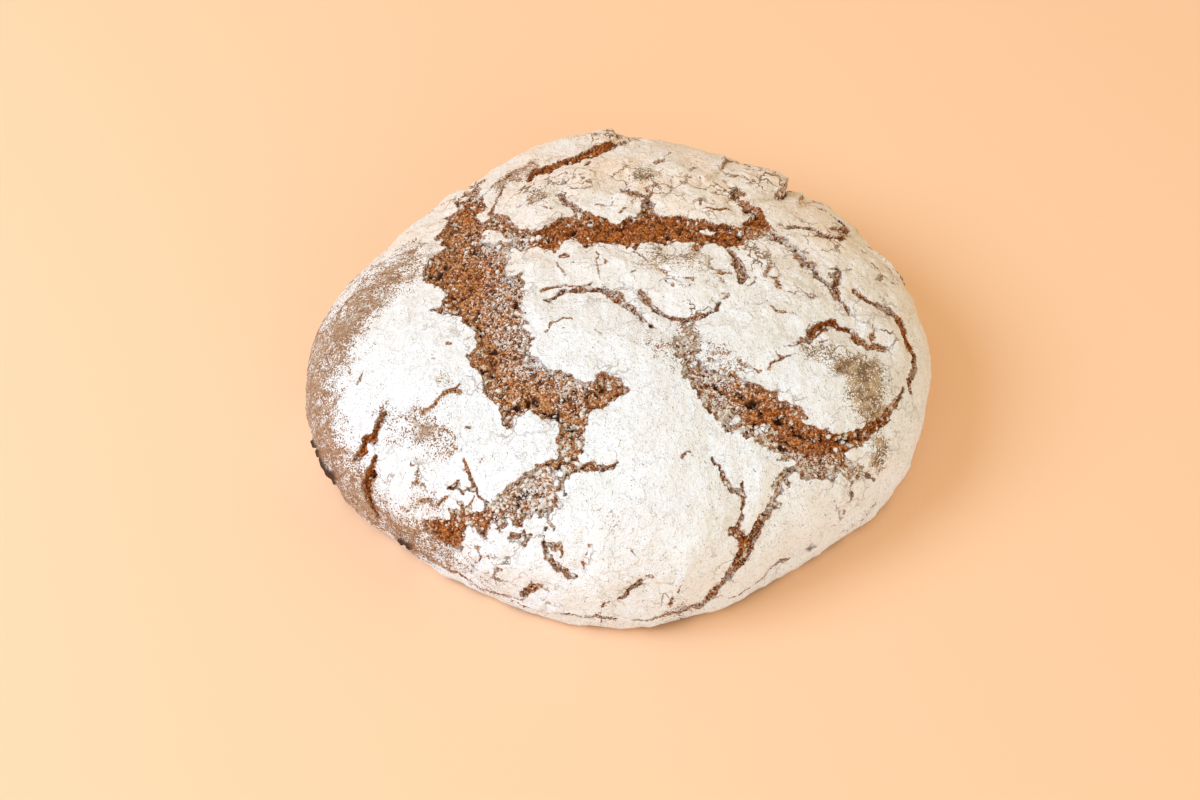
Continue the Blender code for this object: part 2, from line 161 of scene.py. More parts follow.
# Narrow tears and cracks: x, y and full width along each.
CRACKS = (
    # the east shoulder, from the crest's end round to the rim
    ((56, 36, 8), (64, 31, 7), (70, 26, 7), (74, 21, 6), (78, 15, 4), (80, 10, 3), (84, 8, 4), (86, 5, 3),
     (86, 2, 3), (89, -2, 2), (90, -6, 1)),
    ((88, 18, 3), (86, 10, 2.5)),
    ((70, 41, 2), (78, 43, 3), (85, 42, 3), (87, 40, 3), (93, 41, 3), (96, 44, 3), (96, 52, 2)),
    # the narrow rift down the south-east front, with its forks
    ((75, -86, 3), (71, -90, 3), (68, -92, 4), (67, -99, 4), (66, -104, 4.5), (61, -109, 4.5), (58, -117, 5),
     (56, -121, 6), (54, -126, 6.5), (51, -130, 6), (49, -136, 5), (46, -143, 4), (44, -148, 5),
     (41, -155, 6)),
    ((56, -121, 4), (52, -119, 4), (50, -116, 4), (47, -115, 4.5), (49, -113, 2), (50, -111, 1),
     (52, -108, 1), (51, -103, 1), (50, -94, 0.8)),
    ((37, -86, 1), (39, -90, 1.3), (42, -94, 1.8), (46, -99, 2.5), (49, -101, 2.5)),
    # the slash across the north
    ((2, 103, 3), (-10, 91, 7), (-20, 82, 6.5), (-31, 79, 6.5), (-38, 79, 5.5), (-43, 75, 3)),
    ((-49, 86, 1.5), (-54, 82, 1.5), (-61, 78, 1.3), (-66, 72, 1.3)),
    # the east rim's arc
    ((95, 8, 1.5), (99, 6, 2), (103, 5, 3), (107, 4, 4), (111, 3, 4.5), (117, 0, 5), (120, -5, 5),
     (124, -12, 4), (126, -18, 3), (124, -24, 2), (122, -28, 2), (124, -32, 1.5)),
    # the smile on the east plate and the small cracks round it
    ((70, -23, 1.5), (73, -24, 2), (76, -19, 3), (80, -16, 5), (82, -13, 5), (85, -15, 3.5), (89, -14, 2.5),
     (92, -16, 3), (95, -19, 3), (99, -20, 2.5), (103, -19, 2.5), (107, -17, 1.5)),
    ((64, -29, 1.2), (67, -29, 1.5), (70, -26, 1.5)),
    ((67, -33, 1), (63, -36, 1.2), (60, -39, 1.2), (59, -43, 1)),
    ((60, -31, 0.8), (63, -36, 1)),
    ((51, -43, 1), (55, -45, 1.3), (57, -43, 1)),
    ((47, -40, 1), (49, -43, 1)),
    ((57, -11, 1), (60, -13, 1.5), (63, -13, 1), (67, -13, 0.8), (70, -16, 0.8)),
    # clefts in the west flank
    ((-95, -51, 1.2), (-97, -54, 2), (-99, -57, 2.6), (-102, -61, 3.4), (-107, -62, 2.8), (-111, -65, 2),
     (-116, -67, 1)),
    ((-103, -69, 1), (-106, -73, 2.6), (-109, -76, 4), (-114, -79, 4), (-118, -83, 5), (-119, -88, 4),
     (-121, -94, 2)),
    # down the south-west front
    ((-33, -113, 1), (-33, -116, 2), (-34, -118, 3.5), (-32, -121, 4), (-33, -125, 2.5), (-31, -127, 2.5),
     (-28, -130, 3), (-25, -133, 3), (-21, -134, 1)),
    ((-30, -121, 2), (-27, -119, 1.5), (-27, -124, 1.5)),
    ((-33, -105, 1), (-31, -109, 1.2), (-29, -112, 1.2), (-29, -114, 1)),
    ((-44, -137, 2), (-42, -140, 5), (-46, -142, 5), (-51, -146, 3)),
    ((-38, -139, 1.5), (-42, -140, 2)),
    ((-47, -115, 3), (-43, -116, 3), (-40, -118, 2)),
    ((-4, -145, 1.5), (0, -145, 2.5), (3, -141, 2.5), (7, -138, 1.5)),
    ((3, -123, 0.8), (5, -125, 0.8)),
    ((9, -133, 1), (12, -134, 1)),
    ((-11, -151, 1.5), (-10, -148, 1.5), (-7, -147, 1.2)),
    ((-20, -159, 2), (-16, -158, 2), (-13, -156, 1.5), (-5, -159, 1.5)),
    ((22, -146, 2), (23, -150, 2)),
    ((26, -137, 0.8), (24, -142, 0.8)),
    ((88, -128, 2), (84, -131, 2.5), (79, -135, 2)),
    ((-9, -89, 3), (-5, -89, 2), (-3, -87, 1)),
    # the long crack across the central plate
    ((-28, -9, 1), (-24, -6, 1), (-20, -5, 1), (-14, -4, 1.6), (-10, -4, 2), (-6, -6, 4), (-3, -8, 6),
     (0, -12, 4), (3, -14, 2.5), (7, -19, 1.2), (8, -22, 1), (12, -26, 0.8)),
    ((-31, -4, 1.5), (-26, -2, 1.5), (-23, -1, 1.5), (-18, -3, 1.2), (-13, -1, 1)),
    ((8, -6, 1.2), (9, -11, 2), (12, -14, 1.6), (17, -19, 2), (24, -20, 3), (29, -18, 3.5), (31, -17, 2),
     (36, -15, 1.2), (39, -10, 1)),
    ((29, -22, 1.2), (26, -27, 1.5)),
    ((16, 0, 1), (19, -3, 1.5)),
    ((15, 5, 0.8), (18, 3, 0.8)),
    ((4, 3, 1), (6, 4, 1)),
    ((5, 18, 1), (8, 14, 1.2), (10, 11, 1)),
    ((4, 9, 0.8), (8, 9, 1), (13, 9, 0.8)),
    ((-12, 19, 0.8), (-10, 16, 0.8), (-11, 12, 0.8), (-12, 7, 0.8), (-10, 2, 0.8)),
    ((-29, 12, 0.8), (-26, 7, 1), (-22, 3, 0.8)),
    ((-27, 16, 3), (-26, 17, 3)),
    ((-31, -27, 1), (-28, -23, 1.2), (-24, -21, 1.2), (-21, -21, 1)),
    ((-12, -27, 0.8), (-9, -30, 0.8)),
    ((42, 19, 1.2), (46, 14, 3), (46, 10, 5.5), (47, 6, 3.5), (46, 1, 1.5)),
    ((58, 13, 1.8), (56, 6, 1.5)),
    ((30, 9, 0.7), (36, 7, 0.7), (43, 7, 0.7)),
    ((23, -86, 0.9), (26, -83, 0.9), (29, -86, 0.9)),
    # the north plate
    ((-28, 55, 1.5), (-24, 50, 2.5), (-21, 46, 2.5), (-18, 41, 3)),
    ((10, 52, 3), (7, 53, 2.5), (3, 56, 2.5), (0, 58, 1.5)),
    ((3, 53, 2), (-1, 53, 1.5)),
    ((-11, 46, 0.8), (-5, 46, 0.8), (-3, 48, 0.8)),
    ((-2, 41, 1), (2, 43, 1)),
    ((13, 53, 1.5), (14, 57, 1.2)),
    ((11, 60, 1.2), (15, 61, 1.5), (16, 58, 1.2)),
    ((34, 45, 1), (38, 46, 1.6), (42, 46, 1.8), (47, 48, 1.5)),
    ((-36, 49, 1.2), (-31, 46, 1.5)),
    ((-41, 53, 1.2), (-34, 54, 1.5)),
    ((-16, 75, 1.5), (-13, 79, 1.2)),
    ((-61, 54, 2), (-59, 59, 1.8), (-57, 66, 1.8), (-55, 73, 1.2)),
    ((26, 71, 0.8), (28, 72, 0.8)),
    ((37, 71, 0.8), (39, 71, 0.8)),
    ((43, 84, 1), (48, 81, 1)),
    ((16, 80, 0.8), (23, 92, 0.8)),
    # the west and south-west plates
    ((-66, -82, 1.5), (-65, -86, 2.3), (-64, -90, 2.3), (-63, -93, 2.3), (-61, -97, 2), (-59, -100, 1.5)),
    ((-57, -83, 1), (-60, -85, 1)),
    ((-74, -93, 2), (-71, -91, 2.5), (-69, -94, 2.5), (-66, -94, 2)),
    ((-71, -99, 2), (-69, -100, 2)),
    ((-76, -96, 1.5), (-80, -98, 1.3)),
    ((-63, -98, 1), (-65, -102, 1)),
    ((-104, 13, 1), (-110, 13, 1), (-115, 10, 1), (-118, 5, 1), (-119, 0, 0.8)),
    ((-100, -30, 1), (-104, -36, 1)),
    ((-74, -33, 1), (-72, -33, 1)),
    ((-73, -9, 2), (-72, -9, 2)),
    ((-67, -27, 1.5), (-66, -27, 1.5)),
    ((-64, -68, 1.5), (-62, -69, 1.5)),
    ((-67, -50, 2), (-65, -51, 2)),
    ((-66, -47, 1.2), (-69, -50, 2.0), (-74, -54, 1.2), (-79, -59, 1.0)),
    # thin layers along the front foot
    ((-112, -112, 1), (-104, -120, 1.5), (-96, -127, 1.5), (-88, -133, 1.8), (-80, -138, 1.5)),
    ((-84, -140, 1), (-76, -143, 1.6), (-68, -146, 1.8), (-60, -148, 1.6), (-52, -150, 1.2)),
    ((-62, -152, 1), (-50, -155, 1.4), (-40, -158, 1.2)),
    ((-36, -156, 1), (-28, -156, 1.6), (-22, -158, 1.2)),
    ((4, -160, 1), (14, -159, 1.5), (24, -157, 1.8), (34, -156, 1.8), (44, -153, 1.4)),
    ((56, -150, 1), (66, -146, 1.4), (76, -140, 1.4), (82, -136, 1)),
    # the back
    ((-70, 90, 7), (-80, 103, 6), (-84, 114, 4), (-95, 124, 2.5), (-98, 133, 1.2)),
    ((-46, 132, 1.5), (-34, 136, 4), (-20, 134, 5), (-8, 139, 4), (4, 137, 3), (14, 142, 1.2)),
    ((-20, 134, 3), (-22, 124, 1.8), (-18, 116, 1)),
    ((66, 67, 1), (71, 70, 1.4), (75, 76, 2), (78, 86, 2), (82, 100, 3.5), (84, 110, 4), (90, 113, 2),
     (94, 122, 1)),
    ((80, 68, 0.8), (83, 76, 1.2), (88, 88, 1)),
    ((86, 71, 1), (90, 69, 1.2), (95, 65, 1.5), (98, 60, 2.5), (101, 54, 3), (97, 50, 3), (92, 49, 2.5)),
    ((46, 84, 1), (48, 92, 1.2), (50, 104, 1)),
    ((112, 45, 0.8), (124, 41, 1.2), (138, 44, 1)),
    ((110, 48, 1), (118, 54, 2.5), (124, 63, 3.5), (124, 72, 2.5), (128, 80, 1)),
    ((32, 118, 1), (40, 122, 1.5), (46, 130, 1)),
    ((-112, 56, 1.2), (-118, 66, 2.5), (-117, 76, 3), (-122, 86, 1.5)),
    ((140, 22, 1), (146, 30, 2), (148, 42, 1.2)),
)

# Small islands of crust left standing in the rifts: x, y and radius.
ISLANDS = (
    (-57, 33, 3.2), (-61, 36, 2.4), (-53, 31, 2.0), (-64, 52, 3.0), (-66, 77, 2.4), (-75, 74, 2.2),
    (46, -68, 1.8), (60, -71, 1.6), (97, -73, 2.6), (-38, 29, 1.6), (-27, -94, 2.2), (36, 31, 1.4),
)

# Where the crust broke into crumbs along a rift instead of tearing clean: x, y, radius and strength.
CRUMBLED = (
    (-45, -112, 15, 1.0), (-66, -109, 14, 0.9), (-28, -101, 11, 1.0), (-66, -95, 10, 0.7),
    (28, -38, 13, 1.0), (14, -32, 9, 0.8), (40, -68, 9, 0.7), (98, -80, 12, 0.8), (66, 31, 11, 1.0),
    (79, 17, 9, 0.9), (-44, -18, 9, 0.7), (-42, 30, 9, 0.8), (-74, 70, 9, 0.7), (-32, -121, 9, 0.8),
    (68, -98, 8, 0.8), (-22, -75, 9, 0.6), (10, -60, 9, 0.6), (56, 58, 9, 0.7),
    (-58, 34, 8, 0.6), (60, -80, 9, 0.6), (-70, 100, 14, 0.7), (80, 104, 12, 0.6),
)

# Where the flour lies smooth, without crazing.
CALM = (
    (12, -98, 27, 1.0), (50, -98, 14, 1.0), (-8, -80, 14, 0.9), (70, -110, 16, 1.0), (-15, 8, 10, 0.8),
    (28, 12, 9, 0.7), (-100, -30, 14, 0.6), (-55, -88, 9, 0.8), (60, -30, 9, 0.6), (-20, -30, 10, 0.6),
)

# Burnt dough that stands out at the foot: x, y, radius and strength.
BURNT = (
    (-143, -46, 2.2, 0.9), (-142, -51, 2.4, 0.9), (-142, -57, 3.2, 1.0), (-141, -61, 3.6, 1.0),
    (-138, -66, 3.0, 1.0), (-114, -109, 2.6, 0.9), (-109, -112, 2.4, 0.8), (-143, -15, 1.6, 0.4),
    (-143, -23, 1.6, 0.4), (-144, -33, 1.6, 0.4), (98, -120, 3.0, 0.5), (30, -158, 3.0, 0.5),
)

# Where the crust is crazed into small shards.
CRAZED = (
    (30, 5, 22, 1.0), (58, 0, 20, 1.0), (82, -28, 14, 0.8), (10, 62, 18, 1.0), (40, 58, 16, 1.0),
    (-22, 62, 14, 0.8),
    (84, 32, 20, 1.0), (0, 104, 20, 0.8), (60, 84, 24, 0.9), (-98, 34, 14, 0.5), (-90, -92, 12, 0.8),
    (-60, -122, 13, 1.0), (-20, -124, 12, 0.5), (104, -14, 12, 0.7), (112, 30, 16, 0.8), (-66, -40, 9, 0.5),
    (0, 142, 30, 0.7), (100, 100, 30, 0.7), (-100, 100, 30, 0.6), (20, -150, 14, 0.5), (-14, 12, 9, 0.8),
    (46, 14, 12, 0.9), (-42, 60, 10, 0.8), (-62, -88, 9, 0.8), (100, -96, 12, 0.5), (-38, -148, 12, 0.7),
)

# Furrows along the floors of the rifts, where they are deepest and painted shade darkens them most: x, y and
# full width.
FURROWS = (
    ((-77, 58, 4), (-79, 44, 5), (-76, 30, 6), (-77, 18, 8), (-72, 9, 9), (-66, 2, 8), (-63, -7, 7),
     (-57, -14, 6), (-53, -22, 5), (-54, -34, 4), (-52, -46, 4)),
    ((-46, -62, 4), (-38, -60, 5), (-28, -64, 4), (-21, -68, 4), (-21, -80, 4)),
    ((-44, -98, 4), (-46, -99, 4)),
    ((-74, -105, 4), (-73, -106, 4)),
    ((-89, -109, 3), (-84, -112, 3)),
    ((-52, 44, 3), (-46, 36, 4), (-38, 30, 3)),
    ((-24, 33, 3), (-14, 36, 4), (-6, 33, 3)),
    ((-10, 37, 3), (4, 33, 2.5), (14, 38, 3.5), (26, 38, 4), (38, 36, 4), (48, 37, 4), (55, 45, 4),
     (57, 54, 3)),
    ((10, 28, 1.5), (24, 30, 2.5), (38, 28, 2), (50, 29, 1.5)),
    ((56, 50, 4), (60, 44, 4)),
    ((34, -50, 3), (41, -54, 4), (50, -57, 4), (58, -60, 3.5), (68, -64, 3), (78, -69, 3), (88, -70, 3),
     (97, -66, 3), (106, -57, 2.5)),
    ((44, -62, 1.5), (54, -68, 2), (64, -73, 2), (74, -77, 1.5)),
    ((34, -54, 4), (36, -58, 4)),
    ((73, -69, 3), (75, -70, 4)),
    ((104, -83, 4), (107, -92, 3)),
    ((88, -87, 4), (90, -87, 4)),
    ((-8, -54, 4), (-14, -58, 4)),
    ((-106, -74, 4), (-111, -79, 5), (-116, -85, 5)),
)

# Soft areas: x, y, radius and strength.
THIN_FLOUR = (
    (-95, 20, 14, 0.8), (-102, 4, 15, 0.8), (-113, -10, 17, 0.9), (-132, -28, 24, 1.0), (-136, -54, 23, 1.0),
    (-128, -82, 23, 1.0), (-110, -108, 18, 1.0), (-95, -52, 7, 0.45), (-89, -60, 9, 0.5),
    (-81, -68, 9, 0.55), (-73, -76, 8, 0.5), (-92, -66, 6, 0.4),
    (-84, -99, 8, 0.6), (-90, -92, 6, 0.5), (-76, -62, 6, 0.4),
    (-81, -59, 6, 0.4), (-71, -53, 5, 0.4), (12, -33, 8, 0.5), (20, -40, 8, 0.6), (27, -28, 7, 0.6),
    (38, -39, 8, 0.6), (47, -43, 6, 0.5), (-92, -120, 13, 0.8),
    (-142, 4, 24, 0.9), (-74, -72, 10, 0.35), (-50, 81, 9, 0.8), (-42, 85, 7, 0.7), (-58, 74, 6, 0.7),
    (-118, 30, 16, 0.6), (-92, 31, 8, 0.5), (-98, 43, 8, 0.5), (130, -91, 8, 0.5), (122, -104, 6, 0.5),
    (-70, -138, 14, 0.5), (30, -158, 14, 0.5), (-10, -160, 12, 0.4), (120, 90, 18, 0.5), (-60, 150, 22, 0.6),
    (40, 158, 22, 0.5), (-130, 90, 20, 0.7), (160, 20, 16, 0.5),
)
WORN_SPOTS = (
    (14, 12, 7, 0.8), (27, 13, 7, 0.7), (-38, 57, 7, 0.8), (-27, 64, 4, 0.6), (10, 69, 7, 0.9),
    (76, -30, 6, 0.7), (86, -34, 6, 0.7), (97, -42, 9, 1.0), (103, -50, 9, 1.0), (100, -32, 8, 0.9),
    (93, -34, 7, 0.8),
    (110, -64, 5, 1.0), (112, -72, 4.5, 1.0), (-6, -112, 5, 0.3), (-70, -44, 4, 0.6), (-80, -66, 5, 0.5),
    (20, 120, 9, 0.5), (70, 120, 9, 0.5), (-100, 100, 9, 0.5),
)
DUSTED_FLOORS = (
    (-54, 24, 9, 0.8), (-50, 8, 8, 0.5), (-40, -41, 7, 0.8), (-26, -94, 6, 0.8), (38, -40, 9, 0.9),
    (44, -50, 5, 0.6), (26, -32, 7, 0.8), (68, 28, 8, 0.9), (-48, -6, 8, 0.6), (-47, -25, 7, 0.6),
    (67, -99, 6, 0.9), (-38, -103, 12, 0.9), (-52, -106, 9, 0.8), (-30, -96, 8, 0.7), (56, -68, 8, 0.3),
    (84, -85, 9, 0.8), (96, -80, 8, 0.7), (104, -88, 8, 0.6), (30, -46, 9, 0.8), (40, -50, 8, 0.5),
    (24, -30, 9, 1.0), (-22, -56, 8, 0.5), (20, -46, 7, 0.5),
    (32, -36, 9, 0.9), (46, -50, 6, 0.5), (37, -62, 7, 0.9), (47, -71, 7, 0.8), (59, -77, 7, 0.8),
    (72, -85, 7, 0.8),
)
AMBER_FLOORS = (
    (-30, 32, 12, 0.8), (-5, 29, 14, 1.0), (20, 32, 14, 1.0), (44, 30, 10, 0.9), (58, 48, 10, 0.9),
    (-82, -112, 9, 1.0), (-60, -107, 9, 0.6), (62, -66, 11, 0.6), (80, -71, 9, 0.7), (94, -68, 8, 0.7),
    (-72, 60, 12, 0.5), (-64, 4, 12, 0.45),
    (54, -124, 10, 0.6), (-20, 80, 10, 0.9), (-36, 79, 8, 1.0), (-8, 93, 8, 1.0), (106, -52, 10, 0.6),
    (-45, -110, 8, 0.5),
    (-116, -85, 8, 1.0), (-108, -62, 8, 1.0), (-108, -76, 8, 0.8), (120, -4, 10, 0.9), (84, -15, 9, 0.8),
)


# ---------------------------------------------------------------- the smooth loaf


def meridian():
    """The outline from the dome's top to the base's rim, as length so far, radius share and height."""
    turn = np.linspace(0, math.pi / 2, 600)
    radius = np.sin(turn) ** (2 / DOME_SQUARENESS)
    height = WAIST_HEIGHT + (DOME_HEIGHT - WAIST_HEIGHT) * np.cos(turn).clip(0) ** (2 / DOME_SQUARENESS)
    turn = np.linspace(0, math.pi / 2, 160)[1:]
    radius = np.append(radius, BASE_SHARE + (1 - BASE_SHARE) * np.cos(turn).clip(0) ** 0.9)
    height = np.append(height, WAIST_HEIGHT * (1 - np.sin(turn) ** 1.1))
    steps = np.hypot(np.diff(radius) * MEAN_RADIUS, np.diff(height))
    length = np.append(0, np.cumsum(steps))
    return length, radius, height


LENGTHS, RADII, HEIGHTS = meridian()
PEEL_RADIUS = float(LENGTHS[-1])
BASE_RADIUS = BASE_SHARE * MEAN_RADIUS


def plan_radius(direction):
    radius = np.full_like(direction, MEAN_RADIUS)
    for waves, swell, crest in PLAN_WAVES:
        radius = radius + swell * np.cos(waves * (direction - math.radians(crest)))
    for middle, spread, swell in PLAN_SWELLS:
        turn = np.remainder(direction - math.radians(middle) + math.pi, 2 * math.pi) - math.pi
        radius = radius + swell * np.exp(-((turn / math.radians(spread)) ** 2))
    return radius


def on_loaf(peel):
    """Points of the smooth loaf, in millimetres, at these places on the peel; past the rim is the base."""
    length = np.hypot(peel[:, 0], peel[:, 1])
    direction = np.arctan2(peel[:, 1], peel[:, 0])
    share = np.interp(length, LENGTHS, RADII)
    past = np.clip((length - PEEL_RADIUS) / BASE_RADIUS, 0, 1)
    share = np.where(length > PEEL_RADIUS, BASE_SHARE * (1 - past), share)
    height = np.interp(length, LENGTHS, HEIGHTS)
    radius = plan_radius(direction) * share
    return np.stack([radius * np.cos(direction), radius * np.sin(direction), height], axis=1)


def outward(peel):
    """The smooth loaf's outward directions at these places on the peel."""
    step = 0.5
    across = on_loaf(peel + (step, 0)) - on_loaf(peel - (step, 0))
    along = on_loaf(peel + (0, step)) - on_loaf(peel - (0, step))
    normal = np.cross(across, along)
    return normal / np.linalg.norm(normal, axis=1, keepdims=True).clip(1e-9)


# ---------------------------------------------------------------- noise and fields on the peel


# Whole numbers that scramble a cell's place and a seed into even chances, and a shift that keeps the
# cells' numbers above zero.
COLUMN_FACTOR, ROW_FACTOR, MIXING_FACTOR = 374761393, 668265263, 1274126177
NOISE_SEED_FACTOR, POINT_SEED_FACTOR = 974634777, 97
CELL_SHIFT = 5000


def dice(column, row, seed):
    """Thirty-two chance bits for each cell, always the same for one cell and seed."""
    bits = (column * COLUMN_FACTOR + row * ROW_FACTOR + seed) & 0xFFFFFFFF
    bits = ((bits ^ (bits >> 13)) * MIXING_FACTOR) & 0xFFFFFFFF
    return bits ^ (bits >> 16)


def noise(x, y, size, seed):
    """Smooth noise from about -1 to 1, with swells of this size in millimetres."""
    x, y = x / size + 1000.0, y / size + 1000.0
    column, row = np.floor(x).astype(np.int64), np.floor(y).astype(np.int64)
    fx, fy = x - column, y - row
    total = np.zeros_like(fx)
    for dx in (0, 1):
        for dy in (0, 1):
            bits = dice(column + dx, row + dy, seed * NOISE_SEED_FACTOR)
            angle = (bits & 0xFFFF) * (2 * math.pi / 65536)
            weight_x = fx if dx else 1 - fx
            weight_y = fy if dy else 1 - fy
            weight_x = weight_x * weight_x * (3 - 2 * weight_x)
            weight_y = weight_y * weight_y * (3 - 2 * weight_y)
            pull = (fx - dx) * np.cos(angle) + (fy - dy) * np.sin(angle)
            total += weight_x * weight_y * pull
    return total * 1.6


def rough_noise(x, y, size, seed, octaves=3):
    """Noise with finer noise on it, from about -1 to 1."""
    total, weight = np.zeros_like(x), 0.0
    for octave in range(octaves):
        share = 0.5**octave
        total += share * noise(x, y, size * share, seed + 17 * octave)
        weight += share
    return total / weight * 1.3


def smooth_step(value, low, high):
    share = np.clip((value - low) / (high - low), 0, 1)
    return share * share * (3 - 2 * share)


# The fields are drawn on a square grid over the peel: its pitch, how far a line is felt, and how many
# rows lie on each side of the middle.
PITCH = 0.3
REACH = 34.0
HALF = int(PEEL_RADIUS / PITCH) + 6
GRID_Y, GRID_X = np.meshgrid(
    np.arange(-HALF, HALF + 1) * PITCH, np.arange(-HALF, HALF + 1) * PITCH, indexing="ij"
)


def ragged(x, y, amount, seed):
    """Places shifted by noise of three sizes, so that lines drawn through them tear unevenly."""
    shift_x, shift_y = np.zeros_like(x), np.zeros_like(y)
    for step, (size, reach) in enumerate(((7.0, 1.5), (2.6, 0.8), (1.1, 0.35))):
        shift_x += amount * reach * noise(x, y, size, seed + 2 * step)
        shift_y += amount * reach * noise(x, y, size, seed + 2 * step + 1)
    return x + shift_x, y + shift_y


def window(low, high, margin):
    """The rows or columns of the grid between two places, with a margin."""
    start = int((low - margin) / PITCH) + HALF
    stop = int((high + margin) / PITCH) + HALF + 2
    return slice(max(start, 0), max(min(stop, 2 * HALF + 1), 0))


def line_field(x, y, lines, reach=REACH):
    """How far each place of the grid is outside the nearest line's side; negative inside a line."""
    field = np.full_like(x, reach)
    for line in lines:
        for (ax, ay, aw), (bx, by, bw) in zip(line, line[1:]):
            rows = window(min(ay, by), max(ay, by), reach)
            columns = window(min(ax, bx), max(ax, bx), reach)
            px, py = x[rows, columns] - ax, y[rows, columns] - ay
            run_x, run_y = bx - ax, by - ay
            share = np.clip((px * run_x + py * run_y) / (run_x**2 + run_y**2 + 1e-9), 0, 1)
            away = np.hypot(px - share * run_x, py - share * run_y) - (aw + share * (bw - aw)) / 2
            field[rows, columns] = np.minimum(field[rows, columns], away)
    return field


def area_field(x, y, outline):
    """How far each place of the grid is outside this outline; negative inside it."""
    closed = outline + outline[:1]
    field = line_field(x, y, [tuple((px, py, 0) for px, py in closed)])
    inside = np.zeros(x.shape, bool)
    for (ax, ay), (bx, by) in zip(closed, closed[1:]):
        rows = window(min(ay, by), max(ay, by), 6)
        px, py = x[rows], y[rows]
        crosses = (py < ay) != (py < by)
        at = ax + (py - ay) * (bx - ax) / (by - ay if by != ay else 1e-9)
        inside[rows] ^= crosses & (px < at)
    return np.where(inside, -field, field)


def blob_field(x, y, blobs):
    """A soft sum of round areas, from 0 to 1."""
    rest = np.ones_like(x)
    for bx, by, radius, strength in blobs:
        away = ((x - bx) ** 2 + (y - by) ** 2) / radius**2
        rest *= 1 - strength * np.exp(-np.minimum(away, 30) ** 1.5)
    return 1 - rest


def scattered(x, y, spacing, seed):
    """The points scattered near each place, one to a cell: how far off along x and y, and its dice."""
    column, row = np.floor(x / spacing).astype(np.int64), np.floor(y / spacing).astype(np.int64)
    for dx in (-1, 0, 1):
        for dy in (-1, 0, 1):
            bits = dice(column + dx + CELL_SHIFT, row + dy + CELL_SHIFT, seed * POINT_SEED_FACTOR)
            at_x = (column + dx + (bits & 255) / 255) * spacing
            at_y = (row + dy + ((bits >> 8) & 255) / 255) * spacing
            yield x - at_x, y - at_y, bits


def shards(x, y, size, seed):
    """Uneven shards this far across: each place's distance from its shard's edge, and the shard's chance."""
    nearest, next_near = np.full(x.shape, 1e9), np.full(x.shape, 1e9)
    chance = np.zeros(x.shape)
    for off_x, off_y, bits in scattered(x, y, size, seed):
        away = np.hypot(off_x, off_y)
        closer = away < nearest
        next_near = np.where(closer, nearest, np.minimum(next_near, away))
        chance = np.where(closer, ((bits >> 16) & 255) / 255, chance)
        nearest = np.where(closer, away, nearest)
    return (next_near - nearest) / 2, chance


def draw_fields():
    """Every field the loaf is made from, on the grid of the peel."""
    x, y = ragged(GRID_X, GRID_Y, 1.0, 11)
    tears = np.minimum(area_field(x, y, WEST_TEAR), area_field(x, y, EAST_TEAR))
    wide = tuple(line for line in CRACKS if max(width for _, _, width in line) > 2.4)
    narrow = tuple(line for line in CRACKS if line not in wide)
    tears = np.minimum(tears, line_field(x, y, wide) - 0.4)
    near_x, near_y = ragged(GRID_X, GRID_Y, 0.75, 53)
    for ix, iy, radius in ISLANDS:
        tears = np.maximum(tears, radius - np.hypot(x - ix, y - iy))
    soft_x, soft_y = ragged(GRID_X, GRID_Y, 1.6, 91)
    broken = 0.3 + blob_field(soft_x, soft_y, CRUMBLED)
    scatter = 2.4 * noise(GRID_X, GRID_Y, 4.6, 61) + 1.5 * noise(GRID_X, GRID_Y, 2.2, 62)
    tears = tears + broken * scatter * np.exp(-((tears / (2.0 + 3.0 * broken)) ** 2))
    cracks = line_field(near_x, near_y, narrow, 8.0) + 0.18
    bent_x, bent_y = ragged(GRID_X, 1.25 * GRID_Y, 1.5, 31)
    edge, chance = shards(bent_x + 5 * noise(GRID_X, GRID_Y, 28, 33), bent_y, 14.0, 7)
    crazed = smooth_step(blob_field(soft_x, soft_y, CRAZED) + 0.45 * noise(GRID_X, GRID_Y, 12, 75), 0.25, 0.7)
    open_share = crazed * (0.66 + 1.3 * noise(GRID_X, GRID_Y, 7, 76))
    cracks = np.minimum(cracks, edge + 0.3 - 0.6 * open_share.clip(0, 1.3))
    return {
        "tear": tears,
        "crack": cracks,
        "furrow": line_field(x, y, FURROWS, 14.0),
        "thin": blob_field(soft_x, soft_y, THIN_FLOUR),
        "worn": blob_field(soft_x, soft_y, WORN_SPOTS),
        "dust": blob_field(soft_x, soft_y, DUSTED_FLOORS),
        "amber": blob_field(soft_x, soft_y, AMBER_FLOORS),
        "calm": blob_field(soft_x, soft_y, CALM),
        "broken": broken.clip(0, 1),
        "burnt": blob_field(soft_x, soft_y, BURNT),
        "crazed": crazed,
        "edge": edge,
        "chance": chance,
    }


FIELDS = draw_fields()


def read(name, peel):
    """A field's value at places on the peel."""
    grid = FIELDS[name]
    length = np.hypot(peel[:, 0], peel[:, 1])
    inside = np.minimum(1, PEEL_RADIUS / length.clip(1e-9))
    column = peel[:, 0] * inside / PITCH + HALF
    row = peel[:, 1] * inside / PITCH + HALF
    c, r = np.floor(column).astype(int), np.floor(row).astype(int)
    fc, fr = column - c, row - r
    top = grid[r, c] * (1 - fc) + grid[r, c + 1] * fc
    bottom = grid[r + 1, c] * (1 - fc) + grid[r + 1, c + 1] * fc
    return top * (1 - fr) + bottom * fr


# ---------------------------------------------------------------- the mesh


def start_ball():
    """A ball of triangles, as unit directions and faces."""
    bpy.ops.mesh.primitive_ico_sphere_add(subdivisions=4, radius=1.0)
    source = bpy.context.object
    corners = np.array([corner.co[:] for corner in source.data.vertices])
    faces = np.array([face.vertices[:] for face in source.data.polygons])
    bpy.data.objects.remove(source)
    return corners / np.linalg.norm(corners, axis=1, keepdims=True), faces


